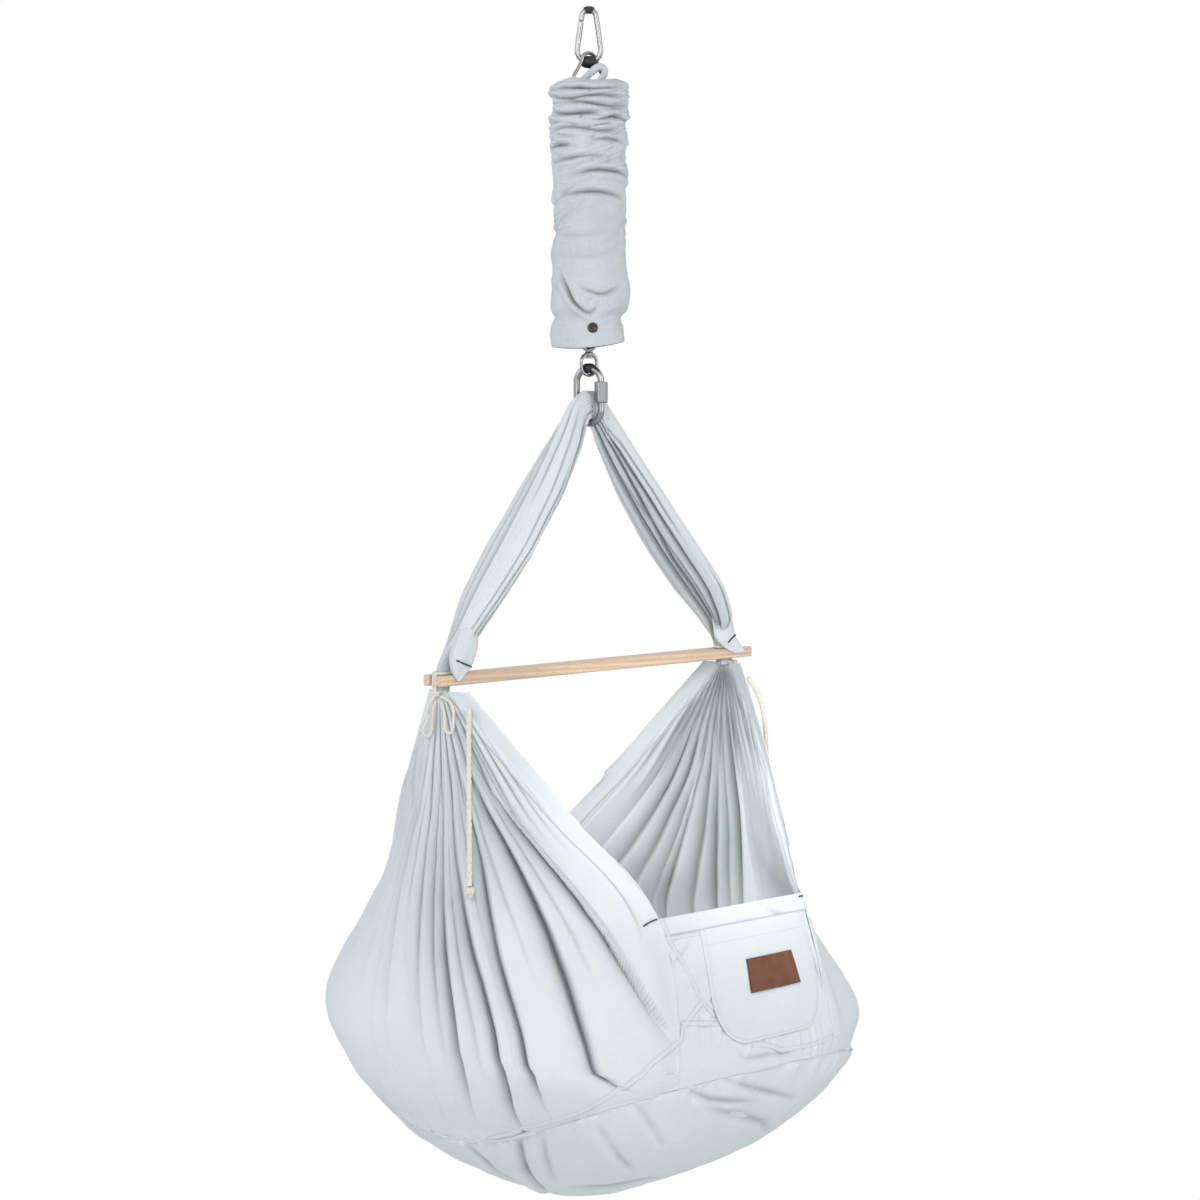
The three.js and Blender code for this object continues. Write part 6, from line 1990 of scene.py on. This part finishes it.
# %% Hem stitches
FAN_POWER = 1.1
STITCH = 3.2 * MM
for tag, grid, out, side in (("near", near_grid, near_out, -1), ("far", far_grid, far_out, 1)):
    from_hem = near_from_hem if side < 0 else far_from_hem
    middle = from_hem.shape[1] // 2
    rows = range(8, int(0.41 ** (1 / FAN_POWER) * (len(from_hem) - 1)))
    lines = []
    for half in (slice(0, middle), slice(middle, None)):
        offset = 0 if half.start == 0 else middle
        places, normals = [], []
        for row in rows:
            away = from_hem[row, half]
            column = offset + int(np.abs(away - (HEM_WIDTH - 0.0022)).argmin())
            places.append(grid[row, column])
            normals.append(out[row, column])
        places, normals = np.array(places), np.array(normals)
        # A hem's stitches show on both faces of the cloth
        lines.append(stitch_line(places, normals, STITCH, lift=1.5 * MM))
        lines.append(stitch_line(places, -normals, STITCH, lift=1.0 * MM))
    stitches(tag + "_hem_stitches", lines)


# %% Body seams
# The base seam climbs from the near end to the front panel's side seam
base_seam_near = line_on(near_grid, near_out, [(0.985, 0.40), (0.965, 0.335), (0.943, 0.263),
                                               (0.915, 0.19), (0.785, 0.122), (0.583, 0.065),
                                               (0.545, 0.004)], power=FAN_POWER)
base_seam_front = line_on(front_grid, front_out, [(0.245, 0.004), (0.215, 0.04), (0.19, 0.12),
                                                  (0.167, 0.2)], 60)
left_seam = line_on(front_grid, front_out, LEFT_SEAM, 90)
under_seam = line_on(front_grid, front_out, UNDER_SEAM, 160)
seam_rows = []
for tag, (places, normals) in (("base_near", base_seam_near), ("base_front", base_seam_front),
                               ("front_left", left_seam), ("front_under", under_seam)):
    seam_strip(tag + "_seam", places, normals)
    for offset in (-0.0028, 0.0028):
        seam_rows.append(stitch_line(beside(places, normals, offset), normals, STITCH,
                                     lift=2.0 * MM))
stitches("seam_stitches", seam_rows)

# The ring seam of the base where it is plainly seen: round the back and both ends
ring_angle = np.radians(np.linspace(-58, 212, 420))
ring = np.array([bowl(np.array([a]), seam_share(np.array([a])) * 0.999)[0] for a in ring_angle])
ring_out = np.array([base_out[-3, int(round(a / TAU * base_out.shape[1])) % base_out.shape[1]]
                     for a in ring_angle])
seam_strip("base_ring_seam", ring, ring_out, 0.008)
stitches("base_ring_stitches", [stitch_line(beside(ring, ring_out, offset), ring_out, STITCH,
                                            lift=2.0 * MM) for offset in (-0.003, 0.003)])

hem_front = line_on(front_grid, front_out, [(0.049, 0.02), (0.049, 0.5), (0.049, 0.98)])
hem_back = line_on(back_grid, back_out, [(0.049, 0.02), (0.049, 0.5), (0.049, 0.98)])
stitches("rim_stitches", [stitch_line(hem_front[0], hem_front[1], STITCH, lift=1.5 * MM),
                          stitch_line(hem_back[0], hem_back[1], STITCH, lift=1.5 * MM)])


# %% Pocket stitches and tacks
# The pocket's U of stitches, and the turned hem along its mouth
U_LINE = [(0.0, 0.035), (0.3, 0.035), (0.7, 0.035), (0.9, 0.05), (0.955, 0.12), (0.965, 0.3),
          (0.965, 0.5), (0.965, 0.7), (0.955, 0.88), (0.9, 0.95), (0.7, 0.965), (0.3, 0.965),
          (0.0, 0.965)]
pocket_u = line_on(pocket_sheet, pocket_out, U_LINE, 300)
mouth = line_on(pocket_sheet, pocket_out, [(0.13, 0.01), (0.13, 0.5), (0.13, 0.99)], 120)
stitches("pocket_stitches", [stitch_line(pocket_u[0], pocket_u[1], STITCH, lift=1.2 * MM),
                             stitch_line(mouth[0], mouth[1], STITCH, lift=1.2 * MM)])

rim_tack = line_on(near_grid, near_out, [(0.411, 0.112), (0.404, 0.080), (0.400, 0.032)], 3,
                   power=FAN_POWER)
bar_tack("near_rim_tack", rim_tack[0] + rim_tack[1] * 0.0022)
far_tack = line_on(front_grid, front_out, [(0.008, 0.968), (0.008, 0.98), (0.008, 0.994)], 3)
bar_tack("far_rim_tack", far_tack[0] + far_tack[1] * 0.0022)


# %% [markdown]
# A cord is tied round each gather above the bar, and its two ends run down past the bar to the
# knot of the bow. It could be one long path, but a ring, two drops and a knot that are joined
# keep their own thickness where a single path would pinch.

# %% Tie cords
TIE_RING = (0.01440, 0.00910)


def tie_cord(side, knot, name, node):
    gather = side * GATHER_REACH
    z = STRAP_LOW + TIE_RADIUS
    turn = np.arange(72) * TAU / 72
    loop = np.stack([gather + np.cos(turn) * TIE_RING[0], np.sin(turn) * TIE_RING[1],
                     np.full(72, z)], axis=1)
    pieces = [tube(name, loop, TIE_RADIUS, 14, closed=True,
                   swell=lambda s, t: braid(s, t, 4, 40))]
    for hand in (-1, 1):
        x = gather + side * (TIE_RING[0] + 0.0003)
        y = hand * (TIE_RADIUS + 0.00015)
        low = -BAR_DROP - BAR_THICK / 2 - TIE_RADIUS
        path, length = resample([(x, y, z), (x, y, (z + low) / 2), (x, y, low), knot], 60)
        pieces.append(tube(name + "_drop", path, TIE_RADIUS, 14,
                           swell=lambda s, t: braid(s, t, 4, 20)))
    wind = np.linspace(0, TAU * 2, 60)
    lump = np.array(knot) + np.stack([0.0020 * np.cos(wind), 0.0020 * np.sin(wind),
                                      0.0016 * np.sin(wind * 1.5)], axis=1)
    pieces.append(tube(name + "_knot", lump, TIE_RADIUS, 14))
    return dress(join(pieces), "cradle", "cord", cord_white, node)


tie_cord(-1, NEAR_KNOT, "near_tie_cord_braided", "near_tie_cord")
tie_cord(1, FAR_KNOT, "far_tie_cord_braided", "far_tie_cord")


# %% [markdown]
# The cover has two small things of its own: its cloth curls up where the spring's loop comes
# out, and a black eyelet sits in its skirt. The curl could be one of the sleeve's folds, but
# it stands clear of the sleeve, so it is a short soft roll along a few points, which are given
# as the camera sees them.

# %% Cover details
def seen_place(right, near, height):
    # A place given as the camera sees it from the axis: to the right, towards it, and up
    return np.array([VIEW_SIDE.x * right - VIEW_IN.x * near,
                     VIEW_SIDE.y * right - VIEW_IN.y * near, height])


collar_path, _ = resample([seen_place(*p) for p in (
    (-0.012, 0.024, -0.0905), (-0.004, 0.022, -0.0845), (0.004, 0.0205, -0.0775),
    (0.012, 0.0185, -0.0712), (0.0185, 0.0175, -0.0725), (0.0205, 0.0185, -0.0790),
    (0.0165, 0.0205, -0.0850), (0.012, 0.023, -0.0900))], 80)
collar = tube("spring_cover_curl", collar_path, 0.0042, 28,
              swell=lambda s, t: 0.62 + 0.45 * np.sin(math.pi * s) ** 0.6
              + 0.2 * np.abs(np.sin(2.5 * t + 5 * s)))
dress(collar, "hanger", "cotton", cotton_worn)


# %% Eyelet
SPOT_HEIGHT = -0.4115
SPOT_TURN = 0.018


def eyelet():
    around = 40
    turn = np.arange(around) * TAU / around
    angle = (VIEW_SHARE + SPOT_TURN) * TAU
    out = np.array([math.cos(angle), math.sin(angle), 0])
    side = np.array([-math.sin(angle), math.cos(angle), 0])
    row = int(round((COVER_TOP - SPOT_HEIGHT) / (COVER_TOP - COVER_BOTTOM) * 459))
    column = int(round((VIEW_SHARE + SPOT_TURN) * 360)) % 360
    centre = cover_points[row, column] + out * 0.0006
    rows = []
    for radius, lift in ((0.0068, -0.001), (0.0068, 0.0008), (0.0064, 0.0015), (0.0056, 0.0017),
                         (0.0046, 0.0012), (0.0036, 0.0009), (0.002, 0.0008), (0.0004, 0.0008)):
        rows.append(centre + out * lift + side * radius * np.cos(turn)[:, None]
                    + np.array([0, 0, 1.0]) * radius * np.sin(turn)[:, None])
    grid = np.array(rows)
    thing = mesh_object("cover_eyelet", *capped(grid, centre - out * 0.001,
                                                centre + out * 0.0008))
    dress(thing, None, "plastic", plastic)
    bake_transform(thing)


eyelet()


# %% [markdown]


# %% [markdown]
# The plugs, the bar, the bolt and the rivet are right as the CAD has them. They could be drawn
# again, but nothing would be gained, so they stay and only get their materials.

# %% CAD pieces that stay
STAYING = {
    "spring_upper_plug": plastic, "spring_lower_plug": plastic, "spreader_bar": beech,
    "swivel_bolt": steel, "gate_rivet": steel,
}
for node, material in STAYING.items():
    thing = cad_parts[node]
    for slot in thing.material_slots:
        slot.material = material


# %% [markdown]
# The cradle is seen before a bright even backdrop, in soft light from the left and the front.
# A picture of a sky could light it. Plain lamps do it here, because each can be moved until
# its own shadow is right. What the camera and the steel see of the world is white, and the
# rest of the world's light is slightly blue.

# %% Studio
WHITE = (1, 1, 1, 1)
SKY = (0.93, 0.96, 1.0, 1)
SKY_STRENGTH = 0.5


def studio():
    scene = bpy.context.scene
    scene.view_settings.view_transform = "Standard"
    world = bpy.data.worlds.new("studio")
    scene.world = world
    world.use_nodes = True
    tree = world.node_tree
    sky = tree.nodes["Background"]
    sky.inputs["Color"].default_value = SKY
    sky.inputs["Strength"].default_value = SKY_STRENGTH
    bare = add_node(tree, "ShaderNodeBackground", {}, {"Color": WHITE})
    rays = add_node(tree, "ShaderNodeLightPath", {}, {})
    seen = Socket(tree, rays.outputs["Is Camera Ray"]).largest(
        Socket(tree, rays.outputs["Is Glossy Ray"]))
    mix = add_node(tree, "ShaderNodeMixShader", {}, {
        0: seen, 1: Socket(tree, sky.outputs[0]), 2: Socket(tree, bare.outputs[0])})
    tree.links.new(mix.outputs[0], tree.nodes["World Output"].inputs[0])


# %% Lamps
def soft_lamp(name, place, size, power, aim=(0, 0, -1.0)):
    lamp = bpy.data.lights.new(name, "AREA")
    lamp.shape = "RECTANGLE"
    lamp.size, lamp.size_y = size
    lamp.energy = power
    thing = bpy.data.objects.new(name, lamp)
    bpy.context.scene.collection.objects.link(thing)
    thing.location = place
    thing.rotation_euler = (Vector(aim) - Vector(place)).to_track_quat("-Z", "Y").to_euler()
    return thing


# %% Floor
def floor_plane():
    # The floor keeps the shadow near the object and fades to the plain backdrop further out
    half = 6.0
    z = cad_box_low - 0.25
    floor = mesh_object("floor", [(-half, -half, z), (half, -half, z), (half, half, z),
                                  (-half, half, z)], [[0, 1, 2, 3]])
    pale = Material("floor_paint", (0.9, 0.9, 0.9), 0.9)
    here = pale.node("ShaderNodeTexCoord", "Object", {}, {})
    away = pale.node("ShaderNodeVectorMath", "Value", {"operation": "LENGTH"}, {0: here})
    seen = pale.node("ShaderNodeLightPath", "Is Camera Ray", {}, {})
    glow = pale.node("ShaderNodeEmission", 0, {}, {})
    share = seen * away.ramp(0.6, 1.2, 0.45, 1.0)
    mix = pale.node("ShaderNodeMixShader", 0, {}, {
        0: share, 1: Socket(pale.tree, pale.shader.outputs[0]), 2: glow})
    pale.tree.links.new(mix.output, pale.tree.nodes["Material Output"].inputs["Surface"])
    floor.data.materials.append(pale.data)


studio()
cad_box_low = min(corner[2] for corner in cad_box)
floor_plane()


# %% Placing the lamps
key_place = VIEW_SIDE * -3.0 - VIEW_IN * 1.3 + Vector((0, 0, 0.9))
front_place = VIEW_SIDE * -0.7 - VIEW_IN * 3.4 + Vector((0, 0, 0.3))
fill_place = VIEW_SIDE * 2.3 - VIEW_IN * 1.6 + Vector((0, 0, 0.1))
low_place = VIEW_SIDE * 0.3 - VIEW_IN * 2.0 + Vector((0, 0, -2.3))
soft_lamp("key", key_place, (1.5, 2.0), 37)
soft_lamp("front", front_place, (1.2, 1.2), 35)
soft_lamp("fill", fill_place, (1.4, 2.2), 30)
soft_lamp("low", low_place, (2.0, 1.2), 9)
inner = soft_lamp("inner", (-0.25, -0.38, -0.78), (0.25, 0.25), 0.45, (0.3, 0.0, -1.2))
inner.data.spread = math.radians(58)
inner.visible_camera = False
